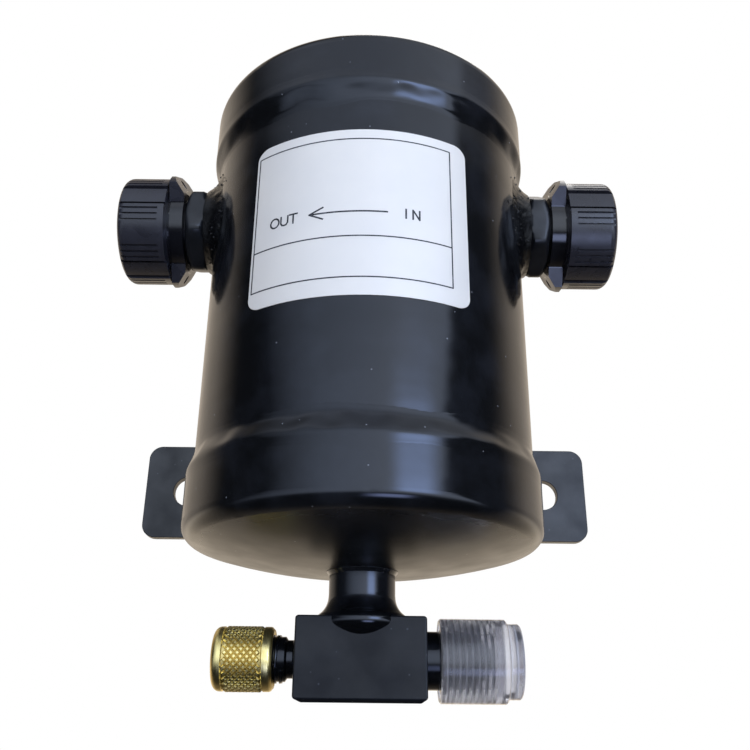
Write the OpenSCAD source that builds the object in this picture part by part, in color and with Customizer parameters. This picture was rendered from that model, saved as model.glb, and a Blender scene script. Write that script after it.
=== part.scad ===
// Refrigeration oil separator: a welded steel vessel with an inlet and an outlet at its sides, a float valve
// in its sump, and a tee below it for the oil return and a service port. Sizes are in millimetres.
// The origin is the middle of the two bolt holes on the back of the mounting plate.
// Up is +Z and the wall is at +Y.

/* [Shell] */
// Outside diameter of the shell tube
tube_d = 85; // [80:0.5:90]
// Wall of the shell tube
tube_wall = 2; // [1.5:0.1:3]
// Height over both crowns
shell_h = 135.4; // [130:0.2:144]
// Sheet of the drawn end caps
cap_sheet = 1.6; // [1.2:0.1:2]
// Clearance between the tube and a cap's skirt, on the radius
cap_fit = 0.1; // [0.05:0.05:0.2]
// Height of an end cap from its skirt edge to its crown
cap_h = 22; // [20:0.5:24]
// Outside knuckle radius of an end cap
cap_knuckle = 4; // [3:0.5:6]
// Outside crown radius of an end cap
cap_crown = 150; // [130:5:200]
// How far the tube's ends stay above the start of the knuckles
tube_end_gap = 1.3; // [0.5:0.1:2]
// Rise of a seam weld along the tube
seam_rise = 4.2; // [3.5:0.1:5]
// Radius of a seam weld's rounded face
seam_face = 6; // [4:0.1:10]

/* [Mounting plate] */
// Width of the mounting plate
plate_w = 134; // [128:1:140]
// Height of the mounting plate
plate_h = 28.4; // [26:0.2:30]
// Thickness of the mounting plate
plate_t = 3; // [2.5:0.1:4]
// Corner radius of the mounting plate
plate_corner = 4; // [2:0.5:8]
// Distance between the two bolt holes
bolt_span = 108; // [106:0.5:112]
// Diameter of the bolt holes
bolt_hole_d = 9; // [8.4:0.1:10]
// Height of the bolt holes above the lower crown
bolt_h = 32; // [28:0.5:36]
// Clearance between the plate and the lower cap's skirt
plate_gap = 0.2; // [0.1:0.1:0.5]
// Inner edge of a plate weld, from the middle
plate_weld_in = 7; // [5:0.5:9]
// Outer edge of a plate weld on the plate, from the middle
plate_weld_out = 17; // [15:0.5:19]
// Outer edge of a plate weld on the tube, from the middle
plate_weld_toe = 13; // [11:0.5:14]
// Length of a plate weld
plate_weld_len = 17; // [12:0.5:18]

/* [Side ports] */
// Height of the port axes below the upper crown
port_drop = 39.4; // [38:0.2:42]
// Diameter of a fitting's shank in the tube wall
shank_d = 21; // [19:0.5:22]
// Clearance of a shank in the tube wall, on the radius
shank_fit = 0.1; // [0.05:0.05:0.2]
// How far a shank reaches inside the tube
shank_reach = 2.5; // [1.5:0.1:3]
// Hexagon across flats
hex_af = 22; // [21.5:0.5:24]
// Stand of the hexagon off the tube's side
hex_stand = 2.5; // [2:0.1:3]
// Thickness of the hexagon
hex_t = 5; // [4.5:0.1:5.4]
// Height of the hexagon's outer chamfer at its corners
hex_chamfer = 1.1; // [0.5:0.1:1.5]
// Diameter of the hexagon's round face inside the chamfer
hex_face_d = 21.4; // [20.5:0.1:22]
// Turn of the inlet's hexagon
inlet_hex_turn = 8; // [0:1:59]
// Turn of the outlet's hexagon
outlet_hex_turn = 4; // [0:1:59]
// Thread diameter of a side port
port_thread_d = 19; // [18:0.1:19.4]
// Length of a side port's threaded stub
port_thread_len = 15; // [12:0.5:15]
// Chamfer at the end of a side port
port_chamfer = 1; // [0.5:0.1:1.5]
// Bore of a side port
port_bore_d = 12; // [10:0.5:13]
// Radius of a port weld where its cone starts inside the shell
port_weld_r = 19.5; // [18:0.1:20]
// Radius of a port weld at the hexagon
port_weld_neck_r = 11.6; // [11.2:0.1:12]
// Clearance between a port weld and the upper cap's skirt
port_weld_gap = 0.1; // [0.1:0.05:0.4]

/* [Dust caps] */
// Diameter over a dust cap's grip panels
dust_d = 29.8; // [29:0.1:31]
// Length of a dust cap
dust_len = 17.3; // [17.2:0.1:18.6]
// Gap between the hexagon and a dust cap
dust_gap = 0.7; // [0.6:0.1:2]
// Length of the plain collar
collar_len = 4.4; // [4:0.1:5]
// Diameter of the plain collar
collar_d = 23; // [22.4:0.1:24]
// Clearance of a dust cap on its thread, on the radius
thread_fit = 0.1; // [0.05:0.01:0.1]
// Thickness of a dust cap's end wall
dust_end = 2.2; // [1.8:0.1:2.6]
// Radius of the outer edge
dust_edge = 2.4; // [1.5:0.1:3]
// Half angle of a grip panel
panel_half = 33; // [30:1:38]
// How far the plain lands lie under the grip panels
land_sink = 0.5; // [0.3:0.1:0.8]
// Width of the deep grooves beside the panels
deep_w = 0.9; // [0.6:0.1:1.2]
// Depth of the deep grooves
deep_cut = 1.4; // [1:0.1:1.6]
// Width of the fine grip grooves
fine_w = 0.6; // [0.4:0.1:0.8]
// Depth of the fine grip grooves
fine_cut = 0.55; // [0.3:0.05:0.8]
// Angle of the first fine groove from a panel's middle
fine_first = 13.5; // [10:0.5:15]
// Angle between fine grooves
fine_step = 6.5; // [5:0.5:7]
// Plain band at the inner end of a panel
fine_stop = 1.7; // [1:0.1:3]
// Half width of a seal lug
lug_half = 8; // [6:0.5:8.5]
// Distance of a seal lug's flat from the axis
lug_r = 15.5; // [15.2:0.1:16]
// Gap between a seal lug and the drum
lug_gap = 0.5; // [0.3:0.1:0.8]
// Radius that trims a seal lug's corners
lug_trim = 16; // [15.8:0.1:16.5]
// Distance of a seal lug's flat from the collar's inner end
lug_flat = 2.9; // [2:0.1:3.2]
// Slope of a seal lug towards the hexagon
lug_slope = 4.6; // [3:0.1:5]
// Diameter of the seal wire hole
wire_hole_d = 2.4; // [1.6:0.1:2.6]
// Distance of the seal wire hole from the axis
wire_hole_r = 13.4; // [13.2:0.1:13.8]
// Turn of the dust caps as they sit
dust_turn = 32; // [0:1:89]

/* [Oil tee] */
// Diameter of the oil stem
stem_d = 16; // [15:0.1:17]
// Bore of the oil stem
stem_bore_d = 6; // [5:0.5:8]
// Top of the oil stem above the lower crown
stem_top = 6; // [5:0.5:7]
// Clearance of the stem in the lower cap, on the radius
stem_fit = 0.05; // [0.05:0.05:0.2]
// Reach of the weld round the stem at the lower cap
stem_weld = 0.7; // [0.6:0.1:1.2]
// Gap between the stem's weld and the lower crown
stem_weld_gap = 0.02; // [0.01:0.01:0.05]
// Depth of the tee's axis below the lower crown
tee_drop = 20; // [19:0.5:22]
// Length of the tee block
block_w = 30.2; // [29:0.2:32]
// Height of the tee block
block_h = 18.2; // [17:0.2:20]
// Depth of the tee block
block_d = 18; // [17:0.2:19]
// Edge radius of the tee block
block_edge = 0.8; // [0.4:0.1:1.5]
// Height of the braze flare on the block
flare_h = 8; // [7:0.1:8.5]
// Reach of the braze flare beyond the stem
flare_reach = 5.4; // [4.8:0.1:5.8]
// How far the braze runs down the block's front and back
flare_drip = 5.6; // [4:0.1:7]
// Passage through the tee
tee_bore_d = 6; // [5:0.5:6.5]
// Depth of the port spigots in the block
spigot_len = 6; // [4:0.5:7]
// How much smaller a spigot is than its neck, on the radius
spigot_step = 0.8; // [0.6:0.1:1.2]
// Clearance of a spigot in the block, on the radius
spigot_fit = 0.05; // [0.02:0.01:0.1]

/* [Service port] */
// Thread diameter of the service port
service_thread_d = 11.1; // [10.8:0.1:11.4]
// Neck diameter of the service port
service_neck_d = 9.8; // [9:0.1:10.4]
// Length of the service port's neck
service_neck_len = 3; // [2.5:0.1:3.5]
// Outer end of the service port, from the vessel axis
service_end = 32.1; // [31.8:0.1:32.3]
// Chamfer at the end of the service port
service_chamfer = 0.6; // [0.3:0.1:0.8]
// Diameter of the valve core
core_d = 5.2; // [4.8:0.1:5.4]
// Length of the valve core
core_len = 7; // [6:0.1:7.4]
// Clearance of the valve core in the port, on the radius
core_fit = 0.02; // [0.01:0.01:0.05]
// How far the valve core sits inside the port's end
core_sink = 1.2; // [1:0.1:1.6]
// Diameter of the valve pin
pin_d = 1.6; // [1.4:0.1:1.8]
// Running clearance of the valve pin, on the radius
pin_fit = 0.05; // [0.03:0.01:0.1]
// Diameter of the valve pin's sealing head
pin_head_d = 3.2; // [2.8:0.1:3.4]
// Length of the valve pin's sealing head
pin_head_len = 1.2; // [1:0.1:1.4]
// Gap between the sealing head and the valve core
pin_head_gap = 0.3; // [0.3:0.1:0.5]
// Clearance round the sealing head, on the radius
pin_head_play = 0.4; // [0.3:0.1:0.6]
// How far the valve pin's tip sits inside the port's end
pin_sink = 0.5; // [0.4:0.1:0.8]
// Inner end of the brass cap, from the vessel axis
brass_in = 20.3; // [20:0.1:20.8]
// Length of the brass cap
brass_len = 14; // [13.8:0.1:14.6]
// Diameter of the brass cap
brass_d = 14.5; // [14:0.1:15]
// End wall of the brass cap
brass_end = 1.1; // [1:0.05:1.2]
// Edge radius of the brass cap's closed end
brass_edge = 1.2; // [0.6:0.1:1.6]
// Chamfer of the brass cap's open end
brass_chamfer = 0.6; // [0.3:0.1:0.9]
// Thickness of the gasket in the brass cap
gasket_t = 0.8; // [0.6:0.1:0.8]

/* [Oil return port] */
// Thread diameter of the oil return port
return_thread_d = 15.9; // [15.5:0.1:16.2]
// Neck diameter of the oil return port
return_neck_d = 13.1; // [12.5:0.1:14]
// Length of the oil return port's neck
return_neck_len = 3.5; // [3.2:0.1:4]
// Length of the oil return port's thread
return_thread_len = 9.4; // [8:0.1:10]
// Bore of the oil return port
return_bore_d = 7; // [6.2:0.1:7.4]
// Length of the flare nose
nose_len = 3.6; // [3:0.1:4]
// Step from the thread to the flare nose, on the radius
nose_step = 0.6; // [0.4:0.1:0.8]
// Taper of the flare nose, on the radius
nose_taper = 2.9; // [2.4:0.1:3]
// Inner end of the clear cap, from the vessel axis
clear_in = 18.2; // [18:0.1:18.4]
// Length of the clear cap to its shoulder
clear_len = 15.7; // [15.4:0.1:17]
// Diameter of the clear cap
clear_d = 18.9; // [18.6:0.1:19.5]
// Length of the clear cap's reduced end
clear_step_len = 3.2; // [2.8:0.1:3.6]
// Diameter of the clear cap's reduced end
clear_step_d = 16.9; // [16.4:0.1:17.4]
// End wall of the clear cap
clear_wall = 1.2; // [1:0.1:1.5]
// Depth of the hollow in the clear cap's end
hollow_depth = 1.8; // [1:0.1:2]
// Rim round the hollow in the clear cap's end
hollow_rim = 1.2; // [0.8:0.1:1.6]
// Taper of the hollow in the clear cap's end, on the radius
hollow_taper = 1.2; // [0.6:0.1:1.6]

/* [Label] */
// Distance of the label's upper edge below the upper crown
label_drop = 36.4; // [32:0.2:40]
// Height of the label
label_h = 45.2; // [40:0.2:46]
// Left edge of the label, from the middle
label_left = 27.3; // [25:0.1:30]
// Right edge of the label, from the middle
label_right = 24.3; // [22:0.1:28]
// Corner radius of the label
label_corner = 3; // [1:0.5:5]
// Thickness of the label
label_t = 0.15; // [0.1:0.05:0.3]

/* [Inside] */
// Outside diameter of the port screens
screen_d = 18; // [17:0.5:19]
// Sheet of the port screens
screen_sheet = 1; // [0.8:0.1:1.2]
// Length of the port screens
screen_len = 22; // [16:1:24]
// Width of the windows in the port screens
window_w = 3.2; // [2:0.1:4]
// Bar between the windows in the port screens
window_bar = 1.6; // [1:0.1:2.5]
// Plain length at each end of the port screens
window_margin = 2.5; // [2:0.1:4]
// Sheet of the baffles
baffle_sheet = 1.5; // [1:0.1:2]
// Height of the sump baffle above the lower crown
sump_h = 64; // [63:1:66]
// Diameter of the sump baffle's drain holes
drain_hole_d = 6; // [4:0.5:8]
// Diameter of the ring of drain holes
drain_ring_d = 58; // [50:1:62]
// Diameter of the sump baffle's middle hole
middle_hole_d = 12; // [8:0.5:16]
// Gap between the sump baffle and the centre baffle
baffle_lift = 6.5; // [4:0.5:10]
// Gap between the centre baffle and the tube's upper end
baffle_drop = 1; // [0.5:0.5:4]
// Gap between the baffles and the tube
baffle_gap = 0.1; // [0.05:0.05:0.3]
// Diameter of the valve seat
seat_d = 14; // [12:0.5:15]
// Height of the valve seat
seat_h = 6; // [5:0.5:7]
// Orifice of the valve seat
orifice_d = 1.8; // [1.2:0.1:2]
// Depth of the valve seat's cone
seat_cone = 2; // [1.9:0.1:2.4]
// Clearance between the needle and the mouth of the cone, on the radius
seat_play = 0.5; // [0.4:0.1:0.7]
// Diameter of the needle
needle_d = 3; // [2.6:0.1:3.4]
// Running clearance of the needle in its guide, on the radius
needle_fit = 0.05; // [0.03:0.01:0.1]
// Radius of the needle's tip
tip_r = 0.4; // [0.3:0.1:0.5]
// Length of the needle's tip
tip_len = 1.8; // [1.6:0.1:1.8]
// Diameter of the needle's stem through the arm
needle_stem_d = 2; // [1.6:0.1:2]
// Diameter of the needle's collars
needle_collar_d = 5.2; // [4.6:0.1:5.2]
// Thickness of the needle's collars
needle_collar_t = 1.2; // [1:0.1:1.4]
// Sheet of the float bracket
bracket_sheet = 1.5; // [1.2:0.1:1.8]
// Radius of the bracket's ears
ear_r = 3.2; // [2.8:0.1:3.4]
// Length of the bracket's foot behind the pivot
foot_back = 4; // [3.5:0.1:5]
// Length of the bracket's foot in front of the needle
foot_front = 5; // [4:0.1:6]
// Distance from the needle to the float pivot
pivot_x = 9; // [8:0.5:10]
// Height of the float pivot above the valve seat
pivot_rise = 8; // [7.5:0.1:9]
// Diameter of the pivot pin
pivot_d = 2; // [1.8:0.1:2.4]
// Running clearance of the arm on the pivot pin, on the radius
pivot_fit = 0.05; // [0.03:0.01:0.1]
// Clearance of the pivot pin in the bracket, on the radius
ear_fit = 0.02; // [0.01:0.01:0.05]
// How far the pivot pin stands out of each ear
pivot_end = 0.5; // [0.3:0.1:1]
// Width of the float arm
arm_w = 7; // [6:0.5:7.5]
// Thickness of the float arm
arm_t = 2; // [1.6:0.1:2.2]
// Radius of the float arm's eye
eye_r = 2.6; // [2.4:0.1:2.8]
// Length of the float arm past the float's middle
arm_end = 3; // [2:0.1:4]
// Length of the needle's slot in the arm
slot_len = 4; // [3.8:0.1:4.6]
// Width of the needle's slot in the arm
slot_w = 2.8; // [2.6:0.1:3]
// Gap between the arm and a bracket ear
arm_gap = 0.5; // [0.3:0.1:0.8]
// Diameter of the float
float_d = 30; // [26:1:32]
// Diameter of the float's stalk
stalk_d = 4; // [3:0.1:5]
// Distance of the float from the needle
float_x = 18; // [16:0.5:19]
// Height of the float's middle above the pivot
float_rise = 18; // [17.5:0.5:19]
// Distance of a needle collar from the arm's middle
collar_play = 2.1; // [2.1:0.1:2.4]

/* [Hidden] */
$fa = 4;
$fs = 0.5;
tube_r = tube_d / 2;
tube_in = tube_r - tube_wall;
cap_r = tube_r + cap_fit + cap_sheet;
knuckle_z = cap_crown - sqrt(pow(cap_crown - cap_knuckle, 2) - pow(cap_r - cap_knuckle, 2));
tube_low = knuckle_z + tube_end_gap;
tube_high = shell_h - tube_low;
seam_step = cap_r - tube_r;
seam_chord = sqrt(pow(seam_step, 2) + pow(seam_rise, 2));
seam_back = sqrt(pow(seam_face, 2) - pow(seam_chord / 2, 2));
seam_mid_r = tube_r + seam_step / 2 - seam_back * seam_rise / seam_chord;
seam_mid_z = seam_rise / 2 - seam_back * seam_step / seam_chord;
plate_front = cap_r + plate_gap;
setback = plate_front + plate_t;
plate_weld_depth = plate_front - sqrt(pow(tube_r, 2) - pow(plate_weld_toe, 2)) + tube_wall;
plate_weld_mid = cap_h + seam_rise + 1 + plate_weld_len / 2;
port_z = shell_h - port_drop;
shank_in = tube_in - shank_reach;
hex_in = tube_r + hex_stand;
hex_out = hex_in + hex_t;
hex_corner_r = hex_af / 2 / cos(30);
hex_lean = hex_chamfer / (hex_corner_r - hex_face_d / 2);
port_end = hex_out + port_thread_len;
dust_in = hex_out + dust_gap;
dust_r = dust_d / 2;
thread_bore_r = port_thread_d / 2 + thread_fit;
stem_r = stem_d / 2;
tee_z = -tee_drop;
block_top = tee_z + block_h / 2;
service_r = service_thread_d / 2;
service_thread_in = block_w / 2 + service_neck_len;
core_out = service_end - core_sink;
core_in = core_out - core_len;
brass_r = brass_d / 2;
brass_floor = brass_len - brass_end;
return_thread_in = block_w / 2 + return_neck_len;
return_r = return_thread_d / 2;
return_thread_out = return_thread_in + return_thread_len;
clear_r = clear_d / 2;
clear_bore_r = return_r + thread_fit;
clear_all = clear_len + clear_step_len;
weld_toe_r = stem_r + stem_weld;
weld_toe_z = cap_crown - sqrt(pow(cap_crown, 2) - pow(weld_toe_r, 2)) - stem_weld_gap;
weld_stem_z = cap_crown - sqrt(pow(cap_crown, 2) - pow(stem_r, 2)) - stem_weld_gap;
label_low = shell_h - label_drop - label_h;
window_pitch = (screen_len - 2 * window_margin) / 3;
seat_top = stem_top + seat_h;
guide_top = seat_top + bracket_sheet;
pivot_z = seat_top + pivot_rise;
ear_in = arm_w / 2 + arm_gap;
needle_r = needle_d / 2;
baffle_low = sump_h + baffle_sheet + baffle_lift;
baffle_half = sqrt(pow(tube_in - baffle_gap, 2) - pow(baffle_sheet / 2, 2));
eps = 0.02;

module seated() {
    translate([0, -setback, -bolt_h]) children();
}

module on_port(side) {
    translate([0, 0, port_z]) rotate([0, side * 90, 0]) children();
}

module on_tee(side) {
    translate([0, 0, tee_z]) rotate([0, side * 90, 0]) children();
}

// Area inside a dished end: crown arc, knuckle arc and straight skirt, with the crown at zero height
module dish_area(crown, knuckle, r, h) {
    lean = asin((r - knuckle) / (crown - knuckle));
    kz = crown - sqrt(pow(crown - knuckle, 2) - pow(r - knuckle, 2));
    difference() {
        intersection() {
            translate([0, crown]) circle(r = crown, $fn = 360);
            square([r, h]);
        }
        difference() {
            polygon([[r - knuckle, kz],
                [r - knuckle + 3 * knuckle * sin(lean), kz - 3 * knuckle * cos(lean)],
                [r + 3 * knuckle, kz - 3 * knuckle * cos(lean)],
                [r + 3 * knuckle, kz]]);
            translate([r - knuckle, kz]) circle(r = knuckle, $fn = 72);
        }
    }
}

module end_cap() {
    rotate_extrude() difference() {
        dish_area(cap_crown, cap_knuckle, cap_r, cap_h);
        translate([0, cap_sheet])
            dish_area(cap_crown - cap_sheet, cap_knuckle - cap_sheet, cap_r - cap_sheet, cap_h);
    }
}

module seam_weld() {
    translate([0, 0, cap_h]) rotate_extrude() intersection() {
        translate([tube_r, 0]) square([seam_step, seam_rise]);
        translate([seam_mid_r, seam_mid_z]) circle(r = seam_face, $fn = 72);
    }
}

module turned_over() {
    translate([0, 0, shell_h]) mirror([0, 0, 1]) children();
}

module shell_tube() {
    color("#16171b") seated() difference() {
        translate([0, 0, tube_low]) cylinder(r = tube_r, h = tube_high - tube_low);
        translate([0, 0, tube_low - 1]) cylinder(r = tube_in, h = tube_high - tube_low + 2);
        for (side = [-1, 1])
            on_port(side) cylinder(r = shank_d / 2 + shank_fit, h = tube_d);
    }
}

module top_cap() {
    color("#16171b") seated() turned_over() end_cap();
}

module bottom_cap() {
    color("#16171b") seated() difference() {
        end_cap();
        translate([0, 0, -1]) cylinder(r = stem_r + stem_fit, h = cap_h / 2);
    }
}

module top_seam_weld() {
    color("#16171b") seated() turned_over() seam_weld();
}

module bottom_seam_weld() {
    color("#16171b") seated() seam_weld();
}

module rounded_area(w, h, r) {
    square([w - 2 * r, h], center = true);
    square([w, h - 2 * r], center = true);
    for (sx = [-1, 1])
        for (sy = [-1, 1])
            translate([sx * (w / 2 - r), sy * (h / 2 - r)]) circle(r = r, $fn = 48);
}

module mounting_plate() {
    color("#1d1f25") seated() translate([0, plate_front + plate_t, bolt_h]) rotate([90, 0, 0])
        linear_extrude(height = plate_t) difference() {
            rounded_area(plate_w, plate_h, plate_corner);
            for (side = [-1, 1])
                translate([side * bolt_span / 2, 0]) circle(d = bolt_hole_d, $fn = 60);
        }
}

module plate_weld(side) {
    translate([0, 0, plate_weld_mid])
    linear_extrude(height = plate_weld_len, center = true) difference() {
        polygon([[side * plate_weld_in, plate_front], [side * plate_weld_out, plate_front],
            [side * plate_weld_toe, plate_front - plate_weld_depth],
            [side * plate_weld_in, plate_front - plate_weld_depth]]);
        circle(r = tube_r, $fn = 180);
    }
}

module plate_weld_left() {
    color("#16171b") seated() plate_weld(-1);
}

module plate_weld_right() {
    color("#16171b") seated() plate_weld(1);
}

module port_fitting(turn) {
    difference() {
        union() {
            translate([0, 0, shank_in]) cylinder(r = shank_d / 2, h = hex_in - shank_in + eps);
            intersection() {
                translate([0, 0, hex_in]) rotate([0, 0, turn])
                    cylinder(r = hex_corner_r, h = hex_t, $fn = 6);
                rotate_extrude() polygon([[0, hex_in], [hex_corner_r + 1, hex_in],
                    [hex_corner_r + 1, hex_out - hex_chamfer - hex_lean],
                    [hex_face_d / 2, hex_out], [0, hex_out]]);
            }
            translate([0, 0, hex_out - eps])
                cylinder(r = port_thread_d / 2, h = port_thread_len - port_chamfer + eps);
            translate([0, 0, port_end - port_chamfer]) cylinder(r1 = port_thread_d / 2,
                r2 = port_thread_d / 2 - port_chamfer, h = port_chamfer, $fn = 96);
        }
        translate([0, 0, shank_in - 1]) cylinder(r = port_bore_d / 2, h = tube_d);
    }
}

module inlet_fitting() {
    color("#16171b") seated() on_port(1) port_fitting(inlet_hex_turn);
}

module outlet_fitting() {
    color("#16171b") seated() on_port(-1) port_fitting(outlet_hex_turn);
}

module port_weld(side) {
    difference() {
        on_port(side) difference() {
            translate([0, 0, shank_in])
                cylinder(r1 = port_weld_r, r2 = port_weld_neck_r, h = hex_in - shank_in, $fn = 96);
            translate([0, 0, shank_in - 1]) cylinder(r = shank_d / 2, h = hex_in, $fn = 180);
        }
        cylinder(r = tube_r, h = shell_h, $fn = 360);
        translate([0, 0, shell_h - cap_h - seam_rise])
            cylinder(r = cap_r + port_weld_gap, h = cap_h, $fn = 360);
    }
}

module inlet_weld() {
    color("#16171b") seated() port_weld(1);
}

module outlet_weld() {
    color("#16171b") seated() port_weld(-1);
}

// Drum of a dust cap: four ribbed grip panels between plain lands, with a rounded outer edge
module dust_drum() {
    difference() {
        rotate_extrude() {
            translate([0, collar_len]) square([dust_r - dust_edge, dust_len - collar_len]);
            translate([0, collar_len]) square([dust_r, dust_len - collar_len - dust_edge]);
            translate([dust_r - dust_edge, dust_len - dust_edge]) circle(r = dust_edge, $fn = 48);
        }
        for (quarter = [0 : 90 : 270])
            rotate([0, 0, quarter]) {
                translate([0, 0, collar_len - 1]) linear_extrude(height = dust_len) difference() {
                    polygon([[0, 0], [2 * dust_r * cos(panel_half), 2 * dust_r * sin(panel_half)],
                        [2 * dust_r * cos(90 - panel_half), 2 * dust_r * sin(90 - panel_half)]]);
                    circle(r = dust_r - land_sink, $fn = 120);
                }
                for (way = [-1, 1]) {
                    rotate([0, 0, way * panel_half])
                        translate([dust_r - deep_cut, -deep_w / 2, collar_len - 1])
                            cube([deep_cut + 1, deep_w, dust_len]);
                    for (i = [0 : 2])
                        rotate([0, 0, way * (fine_first + i * fine_step)])
                            translate([dust_r - fine_cut, -fine_w / 2, collar_len + fine_stop])
                                cube([fine_cut + 1, fine_w, dust_len]);
                }
            }
    }
}

// Two seal lugs across the collar, sloped towards the hexagon
module seal_lugs() {
    intersection() {
        translate([0, 0, -1]) cylinder(r = lug_trim, h = collar_len + 2);
        rotate([90, 0, 0]) linear_extrude(height = 2 * lug_half, center = true)
            polygon([[-lug_r, collar_len - lug_gap], [-lug_r, lug_flat], [-lug_r + lug_slope, 0],
                [lug_r - lug_slope, 0], [lug_r, lug_flat], [lug_r, collar_len - lug_gap]]);
    }
}

// Moulded screw cap: plain collar with two seal lugs, and a ribbed drum
module dust_cap() {
    difference() {
        union() {
            cylinder(r = collar_d / 2, h = collar_len + 1);
            dust_drum();
            seal_lugs();
        }
        translate([0, 0, -1]) cylinder(r = thread_bore_r, h = dust_len - dust_end + 1);
        for (side = [-1, 1])
            translate([side * wire_hole_r, 0, -1])
                cylinder(d = wire_hole_d, h = collar_len - lug_gap / 2 + 1);
    }
}

module inlet_dust_cap() {
    color("#22252c") seated() on_port(1) translate([0, 0, dust_in]) rotate([0, 0, dust_turn]) dust_cap();
}

module outlet_dust_cap() {
    color("#22252c") seated() on_port(-1) translate([0, 0, dust_in]) rotate([0, 0, -dust_turn]) dust_cap();
}

module oil_stem() {
    color("#16171b") seated() difference() {
        translate([0, 0, block_top]) cylinder(r = stem_r, h = stem_top - block_top);
        translate([0, 0, block_top - 1]) cylinder(d = stem_bore_d, h = stem_top - block_top + 2);
    }
}

module stem_weld_ring() {
    color("#16171b") seated() rotate_extrude()
        polygon([[stem_r, -stem_weld], [weld_toe_r, weld_toe_z - 0.1 * stem_weld],
            [weld_toe_r, weld_toe_z], [stem_r, weld_stem_z]]);
}

module block_body() {
    translate([0, block_d / 2, tee_z]) rotate([90, 0, 0]) linear_extrude(height = block_d)
        rounded_area(block_w, block_h, block_edge);
}

module stem_braze() {
    color("#16171b") seated() difference() {
        rotate_extrude() difference() {
            polygon([[stem_r, block_top + flare_h], [stem_r + flare_reach, block_top + flare_h],
                [stem_r + flare_reach, block_top], [block_d / 2, block_top - flare_drip],
                [stem_r, block_top - flare_drip]]);
            translate([stem_r + flare_h, block_top + flare_h]) circle(r = flare_h, $fn = 96);
        }
        block_body();
    }
}

module tee_block() {
    color("#22252c") seated() difference() {
        block_body();
        translate([0, 0, tee_z]) cylinder(d = tee_bore_d, h = block_h);
        on_tee(1) cylinder(d = tee_bore_d, h = 2 * block_w, center = true);
        on_tee(-1) translate([0, 0, block_w / 2 - spigot_len])
            cylinder(r = service_neck_d / 2 - spigot_step + spigot_fit, h = block_w);
        on_tee(1) translate([0, 0, block_w / 2 - spigot_len])
            cylinder(r = return_neck_d / 2 - spigot_step + spigot_fit, h = block_w);
    }
}

module service_port() {
    color("#16171b") seated() on_tee(-1) difference() {
        union() {
            translate([0, 0, block_w / 2 - spigot_len])
                cylinder(r = service_neck_d / 2 - spigot_step, h = spigot_len + eps);
            translate([0, 0, block_w / 2]) cylinder(d = service_neck_d, h = service_neck_len + eps);
            translate([0, 0, service_thread_in])
                cylinder(r = service_r, h = service_end - service_thread_in - service_chamfer);
            translate([0, 0, service_end - service_chamfer - eps]) cylinder(r1 = service_r,
                r2 = service_r - service_chamfer, h = service_chamfer + eps, $fn = 96);
        }
        cylinder(r = pin_head_d / 2 + pin_head_play, h = service_end + 1);
        translate([0, 0, core_in]) cylinder(d = core_d, h = service_end);
    }
}

module valve_core() {
    color("#c9a84c") seated() on_tee(-1) difference() {
        translate([0, 0, core_in]) cylinder(r = core_d / 2 - core_fit, h = core_len);
        translate([0, 0, core_in - 1]) cylinder(r = pin_d / 2 + pin_fit, h = core_len + 2);
    }
}

module valve_pin() {
    color("#b9bdc2") seated() on_tee(-1) {
        translate([0, 0, core_in - pin_head_gap - pin_head_len]) {
            cylinder(d = pin_d, h = service_end - pin_sink - core_in + pin_head_gap + pin_head_len);
            cylinder(d = pin_head_d, h = pin_head_len);
        }
    }
}

module service_cap() {
    color("#c9a23f") seated() on_tee(-1) translate([0, 0, brass_in]) difference() {
        rotate_extrude() difference() {
            union() {
                square([brass_r - brass_edge, brass_len]);
                square([brass_r, brass_len - brass_edge]);
                translate([brass_r - brass_edge, brass_len - brass_edge]) circle(r = brass_edge, $fn = 48);
            }
            polygon([[brass_r - brass_chamfer, -eps], [brass_r + 1, -eps],
                [brass_r + 1, brass_chamfer + 1]]);
        }
        translate([0, 0, -1]) cylinder(r = service_r + thread_fit, h = brass_floor + 1);
    }
}

module service_gasket() {
    color("#2a2a2a") seated() on_tee(-1) translate([0, 0, brass_in + brass_floor - gasket_t])
        cylinder(r = service_r, h = gasket_t);
}

module return_port() {
    color("#16171b") seated() on_tee(1) difference() {
        union() {
            translate([0, 0, block_w / 2 - spigot_len])
                cylinder(r = return_neck_d / 2 - spigot_step, h = spigot_len + eps);
            translate([0, 0, block_w / 2]) cylinder(d = return_neck_d, h = return_neck_len + eps);
            translate([0, 0, return_thread_in]) cylinder(r = return_r, h = return_thread_len);
            translate([0, 0, return_thread_out - eps]) cylinder(r1 = return_r - nose_step,
                r2 = return_r - nose_step - nose_taper, h = nose_len, $fn = 96);
        }
        cylinder(d = return_bore_d, h = 2 * block_w);
    }
}

module return_cap() {
    color([0.85, 0.88, 0.9, 0.5]) seated() on_tee(1) translate([0, 0, clear_in]) difference() {
        union() {
            cylinder(r = clear_r, h = clear_len);
            cylinder(d = clear_step_d, h = clear_all);
        }
        translate([0, 0, -1]) cylinder(r = clear_bore_r, h = clear_len - clear_wall + 1);
        translate([0, 0, clear_all - hollow_depth])
            cylinder(r1 = clear_step_d / 2 - hollow_rim - hollow_taper,
                r2 = clear_step_d / 2 - hollow_rim + hollow_taper, h = 2 * hollow_depth, $fn = 96);
    }
}

module label() {
    color("#d9dbdd") seated() intersection() {
        difference() {
            translate([0, 0, label_low - 1]) cylinder(r = tube_r + label_t, h = label_h + 2);
            translate([0, 0, label_low - 2]) cylinder(r = tube_r, h = label_h + 4);
        }
        translate([(label_right - label_left) / 2, 0, label_low + label_h / 2]) rotate([90, 0, 0])
            linear_extrude(height = tube_d) rounded_area(label_left + label_right, label_h, label_corner);
    }
}

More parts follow.
